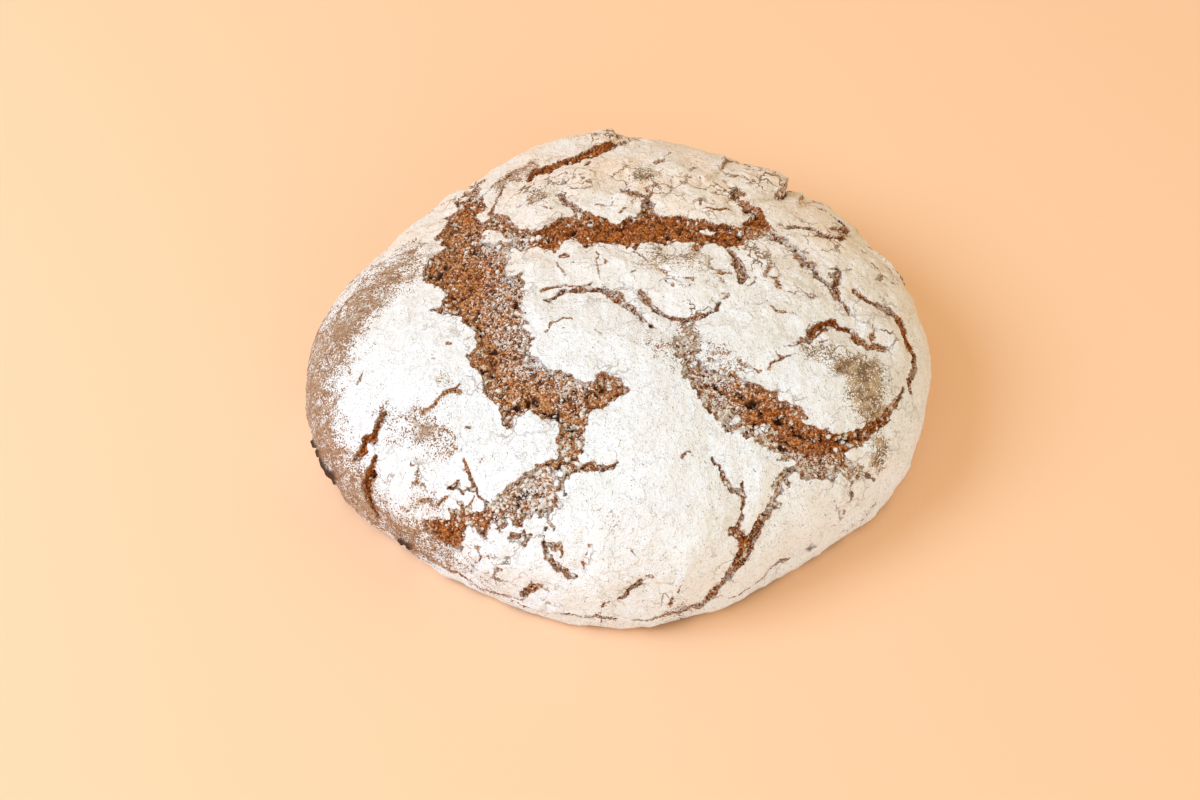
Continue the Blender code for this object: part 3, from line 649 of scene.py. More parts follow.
def peel_of(ball):
    """Where corners of the ball lie on the peel; past the peel's rim they are on the base."""
    turn = np.arccos(np.clip(ball[:, 2], -1, 1))
    length = (PEEL_RADIUS + BASE_RADIUS) * turn / math.pi
    direction = np.arctan2(ball[:, 1], ball[:, 0])
    return np.stack([length * np.cos(direction), length * np.sin(direction)], axis=1)


def edges_of(faces, count):
    """Unique edges, and the three edges of each face: edge i joins corners i and i + 1."""
    pairs = np.sort(np.stack([faces, np.roll(faces, -1, axis=1)], axis=2).reshape(-1, 2), axis=1)
    keys, index = np.unique(pairs[:, 0] * count + pairs[:, 1], return_inverse=True)
    return np.stack([keys // count, keys % count], axis=1), index.reshape(-1, 3)


def split(ball, faces, edges, face_edges, marked, share):
    """Cuts the marked edges at their shares and mends the faces round them."""
    count = len(ball)
    cut = np.full(len(edges), -1)
    cut[marked] = count + np.arange(marked.sum())
    start, end = ball[edges[marked, 0]], ball[edges[marked, 1]]
    added = start + (end - start) * share[marked][:, None]
    ball = np.concatenate([ball, added / np.linalg.norm(added, axis=1, keepdims=True)])
    middle = cut[face_edges]
    cuts = (middle >= 0).sum(axis=1)
    made = [faces[cuts == 0]]

    def turned(chosen, shift):
        order = (np.arange(3) + shift[:, None]) % 3
        return (
            np.take_along_axis(faces[chosen], order, axis=1).T,
            np.take_along_axis(middle[chosen], order, axis=1).T,
        )

    chosen = cuts == 1
    (a, b, c), (ab, _, _) = turned(chosen, np.argmax(middle[chosen] >= 0, axis=1))
    made += [np.stack([a, ab, c], axis=1), np.stack([ab, b, c], axis=1)]
    chosen = cuts == 2
    (a, b, c), (ab, bc, _) = turned(chosen, np.argmin(middle[chosen] >= 0, axis=1) + 1)
    made.append(np.stack([ab, b, bc], axis=1))
    first = np.linalg.norm(ball[a] - ball[bc], axis=1) < np.linalg.norm(ball[ab] - ball[c], axis=1)
    made.append(np.stack([a, ab, np.where(first, bc, c)], axis=1))
    made.append(np.stack([np.where(first, a, ab), bc, c], axis=1))
    chosen = cuts == 3
    (a, b, c), (ab, bc, ca) = turned(chosen, np.zeros(chosen.sum(), int))
    made += [np.stack(corners, axis=1) for corners in ((a, ab, ca), (b, bc, ab), (c, ca, bc), (ab, bc, ca))]
    return ball, np.concatenate(made)


def crust_edge(peel):
    """How long an edge of the crust may be: short along tears and cracks, long where crumb hides it."""
    tear, crack = read("tear", peel), read("crack", peel)
    wanted = np.interp(tear, *CRUST_BY_TEAR)
    narrow = np.interp(crack, *CRUST_BY_CRACK)
    wanted = np.where(tear > -0.5, np.minimum(wanted, narrow), wanted)
    wanted = np.minimum(wanted, 2.3 - 1.7 * smooth_step(read("burnt", peel), 0.05, 0.3))
    past = np.hypot(peel[:, 0], peel[:, 1]) - PEEL_RADIUS
    return np.where(past > 1, np.interp(past, *CRUST_PAST_RIM), wanted)


def crumb_edge(peel):
    """How long an edge of the crumb may be: short in the tears, long where the crust hides it."""
    wanted = np.interp(read("tear", peel), *CRUMB_BY_TEAR)
    past = np.hypot(peel[:, 0], peel[:, 1]) > PEEL_RADIUS + 1
    return np.where(past, CRUMB_PAST_RIM, wanted)


def refine(ball, faces, edge_wanted):
    """Halves the longest edges until every one is as short as is wanted."""
    for _ in range(MOST_HALVINGS):
        edges, face_edges = edges_of(faces, len(ball))
        points = on_loaf(peel_of(ball))
        middles = ball[edges[:, 0]] + ball[edges[:, 1]]
        middles /= np.linalg.norm(middles, axis=1, keepdims=True)
        lengths = np.linalg.norm(points[edges[:, 0]] - points[edges[:, 1]], axis=1)
        too_long = lengths > EDGE_SLACK * edge_wanted(peel_of(middles))
        longest = face_edges[np.arange(len(faces)), np.argmax(lengths[face_edges], axis=1)]
        needy = too_long[face_edges].any(axis=1)
        marked = np.zeros(len(edges), bool)
        marked[longest[needy]] = True
        if not marked.any():
            break
        ball, faces = split(ball, faces, edges, face_edges, marked, np.full(len(edges), 0.5))
    return ball, faces


def cut_line(ball, faces, side, level):
    """Lays a line of edges along the places where side has this level."""
    edges, face_edges = edges_of(faces, len(ball))
    start, end = side[edges[:, 0]] - level, side[edges[:, 1]] - level
    marked = (start > 0) != (end > 0)
    share = np.clip(start / np.where(marked, start - end, 1), CLOSEST_CUT, 1 - CLOSEST_CUT)
    ball, faces = split(ball, faces, edges, face_edges, marked, share)
    return ball, faces, np.append(side, np.full(marked.sum(), level))


def gradient(name, peel):
    """The direction in which a field grows fastest."""
    step = 0.4
    slope_x = read(name, peel + (step, 0)) - read(name, peel - (step, 0))
    slope_y = read(name, peel + (0, step)) - read(name, peel - (0, step))
    slope = np.stack([slope_x, slope_y], axis=1)
    return slope / np.linalg.norm(slope, axis=1, keepdims=True).clip(1e-6)


def crust_relief(peel, tear, side):
    """Height of the floured plates: slow swells, a sag towards the rifts, a curled edge and flaky layers."""
    x, y = peel[:, 0], peel[:, 1]
    rough = 1 - 0.8 * read("calm", peel)
    sag = PLATE_SAG * np.exp(-np.maximum(tear, 0) / SAG_REACH)
    swell = 0.9 * noise(x, y, 34, 5) + 0.6 * noise(x, y, 14, 6)
    layers = noise(x, y, 12, 10) + 0.4 * noise(x, y, 4.5, 11)
    layers = 0.5 * smooth_step(layers, -0.08, 0.06) + 0.4 * smooth_step(layers, 0.32, 0.44)
    folds = np.abs(noise(x + 3 * noise(x, y, 20, 12), 0.45 * y, 9.0, 7))
    pucker = 0.7 * np.minimum(folds, 0.35) + 0.12 * noise(x, y, 4.0, 9)
    curl = 0.55 * np.exp(-np.maximum(side, 0) / 1.8) * (0.6 + 0.8 * noise(x, y, 6, 8))
    edge, crazed = read("edge", peel), read("crazed", peel)
    tilt = (1.0 + 0.9 * smooth_step(y, 30, 80)) * (read("chance", peel) - 0.6)
    shard = 0.9 * (1 - np.exp(-((edge / 2.2) ** 2))) + tilt * smooth_step(edge, 0, 0.9)
    return swell - sag + 0.6 * rough * layers + crazed * shard + (0.3 + 0.7 * rough) * pucker + curl


def pores(x, y, spacing, seed):
    """Round pits scattered about this far apart, 1 at their middles; about half the places stay closed."""
    deepest = np.zeros_like(x)
    for off_x, off_y, bits in scattered(x, y, spacing, seed):
        radius = spacing * (0.14 + 0.2 * ((bits >> 16) & 255) / 255)
        pit = np.exp(-(off_x**2 + off_y**2) / radius**2) * (((bits >> 24) & 1) == 1)
        deepest = np.maximum(deepest, pit)
    return deepest


def crumb_relief(x, y, tear, furrow):
    """Height of the torn crumb, and how low each place lies among its neighbours, from 0 to 1, which the
    crumb's finish turns into painted shade.
    """
    inner = smooth_step(-tear, 0.1, 1.6)
    gape = 1 - smooth_step(furrow, -2.0, 2.4)
    swell = 0.9 * noise(x, y, 10.0, 21)
    lumps = 1.8 * np.abs(noise(x, y, 5.0, 22)) + 0.9 * np.abs(noise(x, y, 2.4, 23))
    lumps = lumps + 0.35 * noise(x, y, 1.3, 24)
    bent_x = x + 1.5 * noise(x, y, 3.2, 71) + 0.7 * noise(x, y, 1.5, 72)
    bent_y = y + 1.5 * noise(x, y, 3.2, 73) + 0.7 * noise(x, y, 1.5, 74)
    pits = np.maximum(pores(bent_x, bent_y, 6.5, 31), pores(bent_x, bent_y, 3.4, 32) * (0.45 + 0.55 * gape))
    low = np.clip(0.75 - 0.8 * lumps, 0, 1) * 0.6 + 0.9 * pits
    floor = -RIFT_DEPTH * smooth_step(-tear, 0, WALL_RUN) - 0.5 * inner
    dip = gape * FURROW_DEPTH * (0.7 + 0.6 * noise(x, y, 5.0, 25)) + pits * PORE_DEPTH
    return floor + inner * (swell + lumps - dip), np.clip(low * inner, 0, 1)


def lifted(peel, shifted, height):
    """Points of the loaf at shifted places, raised by this height, which dies away at the rim."""
    fade = smooth_step(PEEL_RADIUS - np.hypot(peel[:, 0], peel[:, 1]), 0, RIM_FADE)
    points = on_loaf(shifted) + outward(shifted) * (fade * height)[:, None]
    direction = np.arctan2(peel[:, 1], peel[:, 0])
    spread = LIP_REACH * smooth_step(read("burnt", peel), 0.25, 0.75) * fade
    points[:, 0] += spread * np.cos(direction)
    points[:, 1] += spread * np.sin(direction)
    return points


def bulges(x, y):
    """Broad places where the loaf stands prouder than its even dome."""
    return sum(rise * np.exp(-((x - bx) ** 2 + (y - by) ** 2) / reach**2) for bx, by, reach, rise in BULGES)


def ledges(x, y):
    """Steps where one plate's edge stands over the next plate."""
    total = np.zeros_like(x)
    for line, rise, high_reach, drop, low_reach in LEDGES:
        nearest, left = np.full_like(x, 1e9), np.zeros(x.shape, bool)
        for (ax, ay), (bx, by) in zip(line, line[1:]):
            run_x, run_y = bx - ax, by - ay
            share = np.clip(((x - ax) * run_x + (y - ay) * run_y) / (run_x**2 + run_y**2), 0, 1)
            away = np.hypot(x - ax - share * run_x, y - ay - share * run_y)
            left = np.where(away < nearest, run_x * (y - ay) - run_y * (x - ax) > 0, left)
            nearest = np.minimum(nearest, away)
        (ax, ay), (bx, by) = line[0], line[-1]
        half = math.hypot(bx - ax, by - ay) / 2
        near = np.exp(-((np.hypot(x - (ax + bx) / 2, y - (ay + by) / 2) / (half + 4)) ** 4))
        high, low = rise * np.exp(-nearest / high_reach), -drop * np.exp(-nearest / low_reach)
        blend = smooth_step(np.where(left, nearest, -nearest), -0.5, 0.5)
        total += near * (low + (high - low) * blend)
    return total


def shape_crust(peel, side):
    """The crust: flaky plates whose edges lean over the rifts, and between them a bed under the crumb."""
    x, y = peel[:, 0], peel[:, 1]
    tear, crack = read("tear", peel), read("crack", peel)
    crack_depth = np.clip(-crack, 0, 1.2) * 1.8 + 0.25 * (crack < 0)
    plate = crust_relief(peel, tear, side) - crack_depth
    wall = smooth_step(-tear, 0, WALL_RUN)
    bed = -PLATE_SAG - (RIFT_DEPTH + 1.0) * wall - 1.6 * np.clip(-tear - WALL_RUN, 0, 3)
    height = np.where(tear < 0, bed, plate) + bulges(x, y) + ledges(x, y)
    lean = OVERHANG * np.where(tear >= 0, np.clip(1 - tear / 1.6, 0, 1), np.clip(1 + tear / WALL_RUN, 0, 1))
    inward = gradient("tear", peel)
    roomy = smooth_step(np.abs(read("tear", peel - inward * 2.5)), 0.5, 1.5)
    on_top = smooth_step(PEEL_RADIUS - np.hypot(x, y), 2, 8)
    shifted = peel - inward * (lean * on_top * roomy)[:, None]
    # How much the crumb's finish darkens these faces as painted shade: a little on the torn walls, up to 0.6
    # down the cracks.
    low = np.where(tear < 0, 0.2, np.clip(-crack, 0, 0.6))
    return lifted(peel, shifted, height), low


def shape_crumb(peel):
    """The crumb: its torn face shows in the rifts, and elsewhere it lies sunk under the crust."""
    x, y = peel[:, 0], peel[:, 1]
    tear = read("tear", peel)
    torn, low = crumb_relief(x, y, tear, read("furrow", peel))
    under = -RIFT_DEPTH - np.clip(tear * 1.2, 0, 2.6)
    height = np.where(tear < 0, torn, under) + 0.9 * noise(x, y, 34, 5) - PLATE_SAG
    height = height + bulges(x, y) + ledges(x, y)
    points = lifted(peel, peel, height)
    below = np.hypot(x, y) > PEEL_RADIUS - 8
    points[below] *= (0.97, 0.97, 1.0)
    points[:, 2] = np.maximum(points[:, 2], 3.0)
    return points, low


def seat(points, middle):
    """Sets points over the middle of the loaf's solid, standing on the same floor, in metres."""
    low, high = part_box("loaf")
    points = points * MM
    points[:, 0] += (low.x + high.x) / 2 - middle[0] * MM
    points[:, 1] += (low.y + high.y) / 2 - middle[1] * MM
    points[:, 2] = np.maximum(points[:, 2], 0) + low.z
    return points


def paint(mesh, name, values):
    layer = mesh.attributes.new(name, "FLOAT", "POINT")
    layer.data.foreach_set("value", values.astype(np.float32))


def lay_out(mesh, peel, faces):
    """A map of the loaf as two discs: the peel, and the base beside it."""
    length = np.hypot(peel[:, 0], peel[:, 1])
    direction = peel / length[:, None].clip(1e-9)
    on_peel = np.array((PEEL_DISC, PEEL_DISC)) + peel * (PEEL_DISC - DISC_MARGIN) / PEEL_RADIUS
    past = np.clip(1 - (length - PEEL_RADIUS) / BASE_RADIUS, 0, 1.05)
    base_middle = np.array((1 - BASE_DISC, 1 - BASE_DISC))
    on_base = base_middle + direction * ((BASE_DISC - DISC_MARGIN) * past)[:, None]
    under = length[faces].mean(axis=1) > PEEL_RADIUS
    places = np.where(under[:, None, None], on_base[faces], on_peel[faces])
    layer = mesh.uv_layers.new(name="OFBake")
    layer.data.foreach_set("uv", places.reshape(-1).astype(np.float32))


def paint_loaf(mesh, peel, side, height, low):
    """Gives every corner what the two finishes need to know about its place."""
    x, y = peel[:, 0], peel[:, 1]
    under = smooth_step(np.hypot(x, y), PEEL_RADIUS - 3, PEEL_RADIUS + 1)
    thin, behind = read("thin", peel), 8.0 * smooth_step(y, -10, 70)
    foot = 1 - smooth_step(height, 0.5, 3.6 + 1.6 * noise(x, y, 12, 41) + 4.0 * thin + behind)
    tear, furrow = read("tear", peel), read("furrow", peel)
    # How near a furrow's floor each place is. With low, it darkens the crumb's colour as painted shade in
    # furrows, pits and cracks, and it thins the flour there.
    deep = np.clip(1 - smooth_step(furrow, -1.5, 2.8), 0, 1)
    drift = np.exp(np.minimum(tear, 0) / 2.4) * (0.55 + 0.9 * noise(x, y, 13, 42))
    amber = read("amber", peel)
    dust = 0.3 + 0.7 * read("dust", peel) + 0.5 * drift - 0.7 * amber - 0.35 * deep - 0.5 * low
    flour = 1 - 0.8 * thin - 0.35 * foot - under
    flour -= 0.5 * np.exp(-np.maximum(side, 0) / 0.7)
    paint(mesh, "side", side)
    paint(mesh, "flour", np.clip(flour, 0, 1))
    paint(mesh, "worn", read("worn", peel))
    paint(mesh, "dust", np.clip(dust, 0, 1.2))
    paint(mesh, "amber", amber)
    paint(mesh, "deep", deep)
    paint(mesh, "low", low)
    paint(mesh, "foot", np.maximum(foot, under))
    paint(mesh, "burnt", smooth_step(read("burnt", peel), 0.2, 0.6))
    craze = 0.6 * np.exp(-np.maximum(tear, 0) / 9) + 0.75 * read("crazed", peel) - read("calm", peel)
    paint(mesh, "craze", np.clip(craze, 0, 1))
    within = smooth_step(-tear, 0.2, 0.8)
    near_edge = np.exp(np.minimum(tear, 0) / 2.2)
    clump = smooth_step(noise(x, y, 3.4, 44) + 0.5 * noise(x, y, 9, 45), -0.35, 0.35)
    paint(mesh, "specks", within * np.clip(dust, 0.05, 1.2) ** 1.4 * (0.15 + 0.85 * clump))
    paint(mesh, "nubs", within * np.clip(1 - 1.6 * low - 0.5 * deep, 0, 1) * (0.15 + 0.85 * clump))
    paint(mesh, "chips", within * near_edge * read("broken", peel) ** 1.5 * (1 - 0.8 * amber))
    # The flour warms towards the back: partly a cream tint, partly painted shade for the dimmer, warmer light
    # there.
    paint(mesh, "cream_and_back_shade", smooth_step(y, -20, 90) * 0.8 + 0.25 * noise(x, y, 25, 43))
    # Low on the front the flour is tinted cool as painted light, offsetting the warm light bounced from the
    # floor.
    paint(mesh, "painted_bounce_offset", (1 - 0.5 * smooth_step(height, 8, 46)) * (1 - smooth_step(y, -60, 40)))


def build_mesh(name, points, faces):
    mesh = bpy.data.meshes.new(name)
    mesh.vertices.add(len(points))
    mesh.vertices.foreach_set("co", points.reshape(-1).astype(np.float32))
    mesh.loops.add(faces.size)
    mesh.loops.foreach_set("vertex_index", faces.reshape(-1).astype(np.int32))
    mesh.polygons.add(len(faces))
    mesh.polygons.foreach_set("loop_start", np.arange(0, faces.size, 3, dtype=np.int32))
    mesh.update(calc_edges=True)
    mesh.validate()
    return mesh


def finish_piece(name, points, peel, faces, side, low, torn, finishes):
    """Makes an object of these points, with what its finishes need painted on it."""
    mesh = build_mesh(name, points, faces)
    lay_out(mesh, peel, faces)
    paint_loaf(mesh, peel, side, points[:, 2] / MM, low)
    for finish in finishes:
        mesh.materials.append(finish)
    mesh.polygons.foreach_set("material_index", torn.astype(np.int32))
    mesh.shade_smooth()
    mesh.set_sharp_from_angle(angle=math.radians(CREASE_ANGLE))
    piece = bpy.data.objects.new(name, mesh)
    bpy.context.scene.collection.objects.link(piece)
    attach(piece, "root")
    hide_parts("loaf")
    return piece


def make_loaf():
    """The crust with its plates, and the crumb that shows between them, which grains can lie on."""
    crust, crumb = crust_material(), crumb_material()
    ball, faces = refine(*start_ball(), crust_edge)
    peel = peel_of(ball)
    side = np.minimum(read("tear", peel), read("crack", peel))
    ball, faces, side = cut_line(ball, faces, side, 0.0)
    peel = peel_of(ball)
    points, low = shape_crust(peel, side)
    middle = (points.min(axis=0) + points.max(axis=0)) / 2
    torn = side[faces].mean(axis=1) < 0
    plates = finish_piece("loaf_crust", seat(points, middle), peel, faces, side, low, torn, (crust, crumb))
    ball, faces = refine(*start_ball(), crumb_edge)
    peel = peel_of(ball)
    side = read("tear", peel)
    points, low = shape_crumb(peel)
    torn = np.zeros(len(faces))
    return finish_piece("loaf_crumb", seat(points, middle), peel, faces, side, low, torn, (crumb,))


# ---------------------------------------------------------------- materials


def tone(red, green, blue):
    """A colour given as 0 to 255 on a display, made linear."""
    linear = [
        c / 12.92 if c <= 0.04045 else ((c + 0.055) / 1.055) ** 2.4
        for c in (red / 255, green / 255, blue / 255)
    ]
    return (*linear, 1.0)


def new_material(name, roughness):
    material = bpy.data.materials.new(name)
    material.use_nodes = True
    surface = material.node_tree.nodes["Principled BSDF"]
    surface.inputs["Roughness"].default_value = roughness
    surface.inputs["Specular IOR Level"].default_value = 0.25
    return material, material.node_tree, surface


def grain(tree, size, detail=2.0, roughness=0.5):
    """Noise with swells of this size in metres."""
    place = tree.nodes.new("ShaderNodeTexCoord")
    node = tree.nodes.new("ShaderNodeTexNoise")
    node.inputs["Scale"].default_value = 1 / size
    node.inputs["Detail"].default_value = detail
    node.inputs["Roughness"].default_value = roughness
    tree.links.new(place.outputs["Object"], node.inputs["Vector"])
    return node.outputs["Fac"]


def painted(tree, name):
    node = tree.nodes.new("ShaderNodeAttribute")
    node.attribute_name = name
    return node.outputs["Fac"]


def maths(tree, action, first, second):
    node = tree.nodes.new("ShaderNodeMath")
    node.operation = action
    for socket, value in zip(node.inputs, (first, second)):
        if isinstance(value, (int, float)):
            socket.default_value = value
        else:
            tree.links.new(value, socket)
    return node.outputs["Value"]


def stepped(tree, value, low, high):
    """0 below low, 1 above high, and smooth between; low may be the greater."""
    node = tree.nodes.new("ShaderNodeMapRange")
    node.interpolation_type = "SMOOTHSTEP"
    flip = low > high
    node.inputs["From Min"].default_value = min(low, high)
    node.inputs["From Max"].default_value = max(low, high)
    node.inputs["To Min"].default_value = 1.0 if flip else 0.0
    node.inputs["To Max"].default_value = 0.0 if flip else 1.0
    tree.links.new(value, node.inputs["Value"])
    return node.outputs["Result"]


def mixed(tree, share, first, second):
    node = tree.nodes.new("ShaderNodeMix")
    node.data_type = "RGBA"
    tree.links.new(share, node.inputs["Factor"])
    for socket, value in ((node.inputs[6], first), (node.inputs[7], second)):
        if isinstance(value, tuple):
            socket.default_value = value
        else:
            tree.links.new(value, socket)
    return node.outputs[2]


def bumped(tree, surface, *layers):
    """Fine relief from (height, distance in metres) layers, one on another."""
    last = None
    for height, distance in layers:
        node = tree.nodes.new("ShaderNodeBump")
        node.inputs["Distance"].default_value = distance
        tree.links.new(height, node.inputs["Height"])
        if last:
            tree.links.new(last, node.inputs["Normal"])
        last = node.outputs["Normal"]
    tree.links.new(last, surface.inputs["Normal"])


def crackle(tree, size, width):
    """1 along the crazed lines between uneven cells of this size in metres; width is a share of it."""
    place = tree.nodes.new("ShaderNodeTexCoord")
    drift = tree.nodes.new("ShaderNodeTexNoise")
    drift.inputs["Scale"].default_value = 2.2 / size
    drift.inputs["Detail"].default_value = 3
    bend = tree.nodes.new("ShaderNodeVectorMath")
    bend.operation = "MULTIPLY_ADD"
    bend.inputs[1].default_value = (size * 0.9,) * 3
    node = tree.nodes.new("ShaderNodeTexVoronoi")
    node.feature = "DISTANCE_TO_EDGE"
    node.inputs["Scale"].default_value = 1 / size
    tree.links.new(place.outputs["Object"], drift.inputs["Vector"])
    tree.links.new(drift.outputs["Color"], bend.inputs[0])
    tree.links.new(place.outputs["Object"], bend.inputs[2])
    tree.links.new(bend.outputs["Vector"], node.inputs["Vector"])
    return stepped(tree, node.outputs["Distance"], width * 1.6, width * 0.5)


def crust_material():
    """Baked crust under flour: thick, white and flaky on the plates, thin and speckled on the flank."""
    material, tree, surface = new_material("floured_crust", 0.95)
    powder, clumps = grain(tree, 0.0007), grain(tree, 0.0024, 3)
    flakes, drifts = grain(tree, 0.0085, 5, 0.58), grain(tree, 0.016, 3)
    mottle = grain(tree, 0.005, 4, 0.6)
    speckle = maths(tree, "ADD", maths(tree, "MULTIPLY", powder, 1.3), maths(tree, "MULTIPLY", clumps, 0.5))
    bare = mixed(tree, stepped(tree, drifts, 0.35, 0.6), tone(186, 150, 120), tone(166, 128, 100))
    bare = mixed(tree, stepped(tree, mottle, 0.48, 0.62), bare, tone(182, 158, 138))
    bare = mixed(tree, stepped(tree, speckle, 0.88, 0.76), bare, tone(140, 102, 76))
    upper, lower = stepped(tree, flakes, 0.545, 0.56), stepped(tree, flakes, 0.415, 0.43)
    white = mixed(tree, lower, tone(233, 224, 218), tone(238, 231, 228))
    white = mixed(tree, upper, white, tone(242, 237, 236))
    # Warmer towards the back: partly a cream tint of the flour, partly painted shade for the back's dimmer,
    # warmer light.
    warm = maths(tree, "MULTIPLY", painted(tree, "cream_and_back_shade"), stepped(tree, drifts, 0.25, 0.7))
    white = mixed(tree, warm, white, tone(246, 221, 202))
    # Painted light: a cool tint on the low front flour, against the warm light bounced from the floor.
    white = mixed(tree, painted(tree, "painted_bounce_offset"), white, tone(236, 242, 252))
    lines = maths(tree, "MULTIPLY", crackle(tree, 0.0095, 0.027), painted(tree, "craze"))
    lines = maths(tree, "MULTIPLY", lines, stepped(tree, drifts, 0.45, 0.56))
    white = mixed(tree, lines, white, tone(146, 114, 88))
    cover = maths(tree, "ADD", maths(tree, "MULTIPLY", painted(tree, "flour"), 0.76), speckle)
    colour = mixed(tree, stepped(tree, cover, 1.1, 1.24), bare, white)
    rubbed = maths(tree, "ADD", maths(tree, "MULTIPLY", painted(tree, "worn"), 0.42), speckle)
    scuffed = mixed(tree, stepped(tree, mottle, 0.42, 0.58), tone(134, 104, 76), tone(188, 160, 128))
    colour = mixed(tree, stepped(tree, rubbed, 1.08, 1.25), colour, scuffed)
    rim = maths(tree, "ADD", painted(tree, "side"), maths(tree, "MULTIPLY", clumps, 1.2))
    colour = mixed(tree, stepped(tree, rim, 0.9, 0.5), colour, tone(158, 118, 86))
    char = maths(tree, "MULTIPLY", painted(tree, "foot"), stepped(tree, drifts, 0.35, 0.6))
    colour = mixed(tree, char, colour, tone(116, 80, 54))
    colour = mixed(tree, painted(tree, "burnt"), colour, tone(76, 48, 33))
    tree.links.new(colour, surface.inputs["Base Color"])
    layers = maths(tree, "ADD", upper, lower)
    layers = maths(tree, "SUBTRACT", maths(tree, "MULTIPLY", layers, 0.4), lines)
    bumped(tree, surface, (layers, 0.0004), (clumps, 0.0009), (powder, 0.0004))
    return material


def crumb_material():
    """Torn crumb: coarse brown grains, pores and hollows darkened with painted shade, and flour fallen on it.
    """
    material, tree, surface = new_material("torn_crumb", 0.9)
    grit, lumps = grain(tree, 0.0008, 2), grain(tree, 0.0022, 3, 0.6)
    drifts = grain(tree, 0.009, 3)
    tan = mixed(tree, stepped(tree, grit, 0.4, 0.6), tone(156, 95, 54), tone(226, 162, 106))
    amber = mixed(tree, stepped(tree, grit, 0.4, 0.6), tone(130, 64, 24), tone(208, 126, 54))
    warm = maths(tree, "ADD", painted(tree, "amber"), maths(tree, "SUBTRACT", drifts, 0.45))
    colour = mixed(tree, stepped(tree, warm, 0.1, 0.8), tan, amber)
    # Dark brown where the lumps' bump is low: dark grains, and painted shade in the bump's hollows.
    colour = mixed(tree, stepped(tree, lumps, 0.46, 0.36), colour, tone(96, 52, 30))
    # Painted shade: the crumb goes near black in its pits and furrows, in cracks, on torn walls and in the
    # bump's hollows.
    shade = maths(tree, "ADD", painted(tree, "low"), maths(tree, "MULTIPLY", painted(tree, "deep"), 0.3))
    shade = maths(tree, "ADD", shade, maths(tree, "MULTIPLY", lumps, -0.5))
    colour = mixed(tree, stepped(tree, shade, 0.15, 0.75), colour, tone(66, 34, 20))
    fallen = maths(tree, "ADD", maths(tree, "MULTIPLY", painted(tree, "dust"), 0.32), grit)
    fallen = maths(tree, "ADD", fallen, maths(tree, "MULTIPLY", lumps, 0.3))
    colour = mixed(tree, stepped(tree, fallen, 0.8, 0.88), colour, tone(216, 204, 200))
    tree.links.new(colour, surface.inputs["Base Color"])
    bumped(tree, surface, (lumps, 0.0014), (grit, 0.0006))
    return material


def nub_material():
    """Single grains and bran at the face of the crumb, each in its own brown."""
    material, tree, surface = new_material("crumb_nubs", 0.85)
    tint, grit = painted(tree, "tint"), grain(tree, 0.0008, 2)
    colour = mixed(tree, stepped(tree, tint, 0.15, 0.35), tone(84, 44, 26), tone(162, 98, 56))
    colour = mixed(tree, stepped(tree, tint, 0.45, 0.6), colour, tone(220, 152, 98))
    colour = mixed(tree, stepped(tree, tint, 0.72, 0.8), colour, tone(224, 196, 172))
    golden = maths(tree, "MULTIPLY", painted(tree, "amber"), stepped(tree, tint, 0.0, 0.5))
    colour = mixed(tree, golden, colour, tone(196, 114, 48))
    colour = mixed(tree, stepped(tree, grit, 0.5, 0.4), colour, tone(124, 76, 48))
    tree.links.new(colour, surface.inputs["Base Color"])
    bumped(tree, surface, (grit, 0.0005))
    return material


def speck_material():
    """Clots of flour."""
    material, tree, surface = new_material("flour_specks", 0.95)
    powder = grain(tree, 0.0008, 2)
    colour = mixed(tree, stepped(tree, powder, 0.3, 0.6), tone(218, 206, 202), tone(240, 236, 234))
    tree.links.new(colour, surface.inputs["Base Color"])
    bumped(tree, surface, (powder, 0.0003))
    return material


def chip_material():
    """Chips of floured crust, brown where they broke."""
    material, tree, surface = new_material("crust_chips", 0.95)
    powder, clumps = grain(tree, 0.0006, 2), grain(tree, 0.002, 3)
    colour = mixed(tree, stepped(tree, clumps, 0.38, 0.5), tone(176, 136, 108), tone(234, 228, 220))
    colour = mixed(tree, stepped(tree, powder, 0.3, 0.42), tone(206, 182, 162), colour)
    tree.links.new(colour, surface.inputs["Base Color"])
    bumped(tree, surface, (clumps, 0.0006), (powder, 0.0003))
    return material


# ---------------------------------------------------------------- scattered grains


SCATTER_INPUTS = (
    ("Bed", "NodeSocketGeometry"),
    ("Where", "NodeSocketString"),
    ("Per Square Metre", "NodeSocketFloat"),
    ("Smallest", "NodeSocketFloat"),
    ("Largest", "NodeSocketFloat"),
    ("Thickness", "NodeSocketFloat"),
    ("Pattern", "NodeSocketInt"),
    ("Finish", "NodeSocketMaterial"),
)


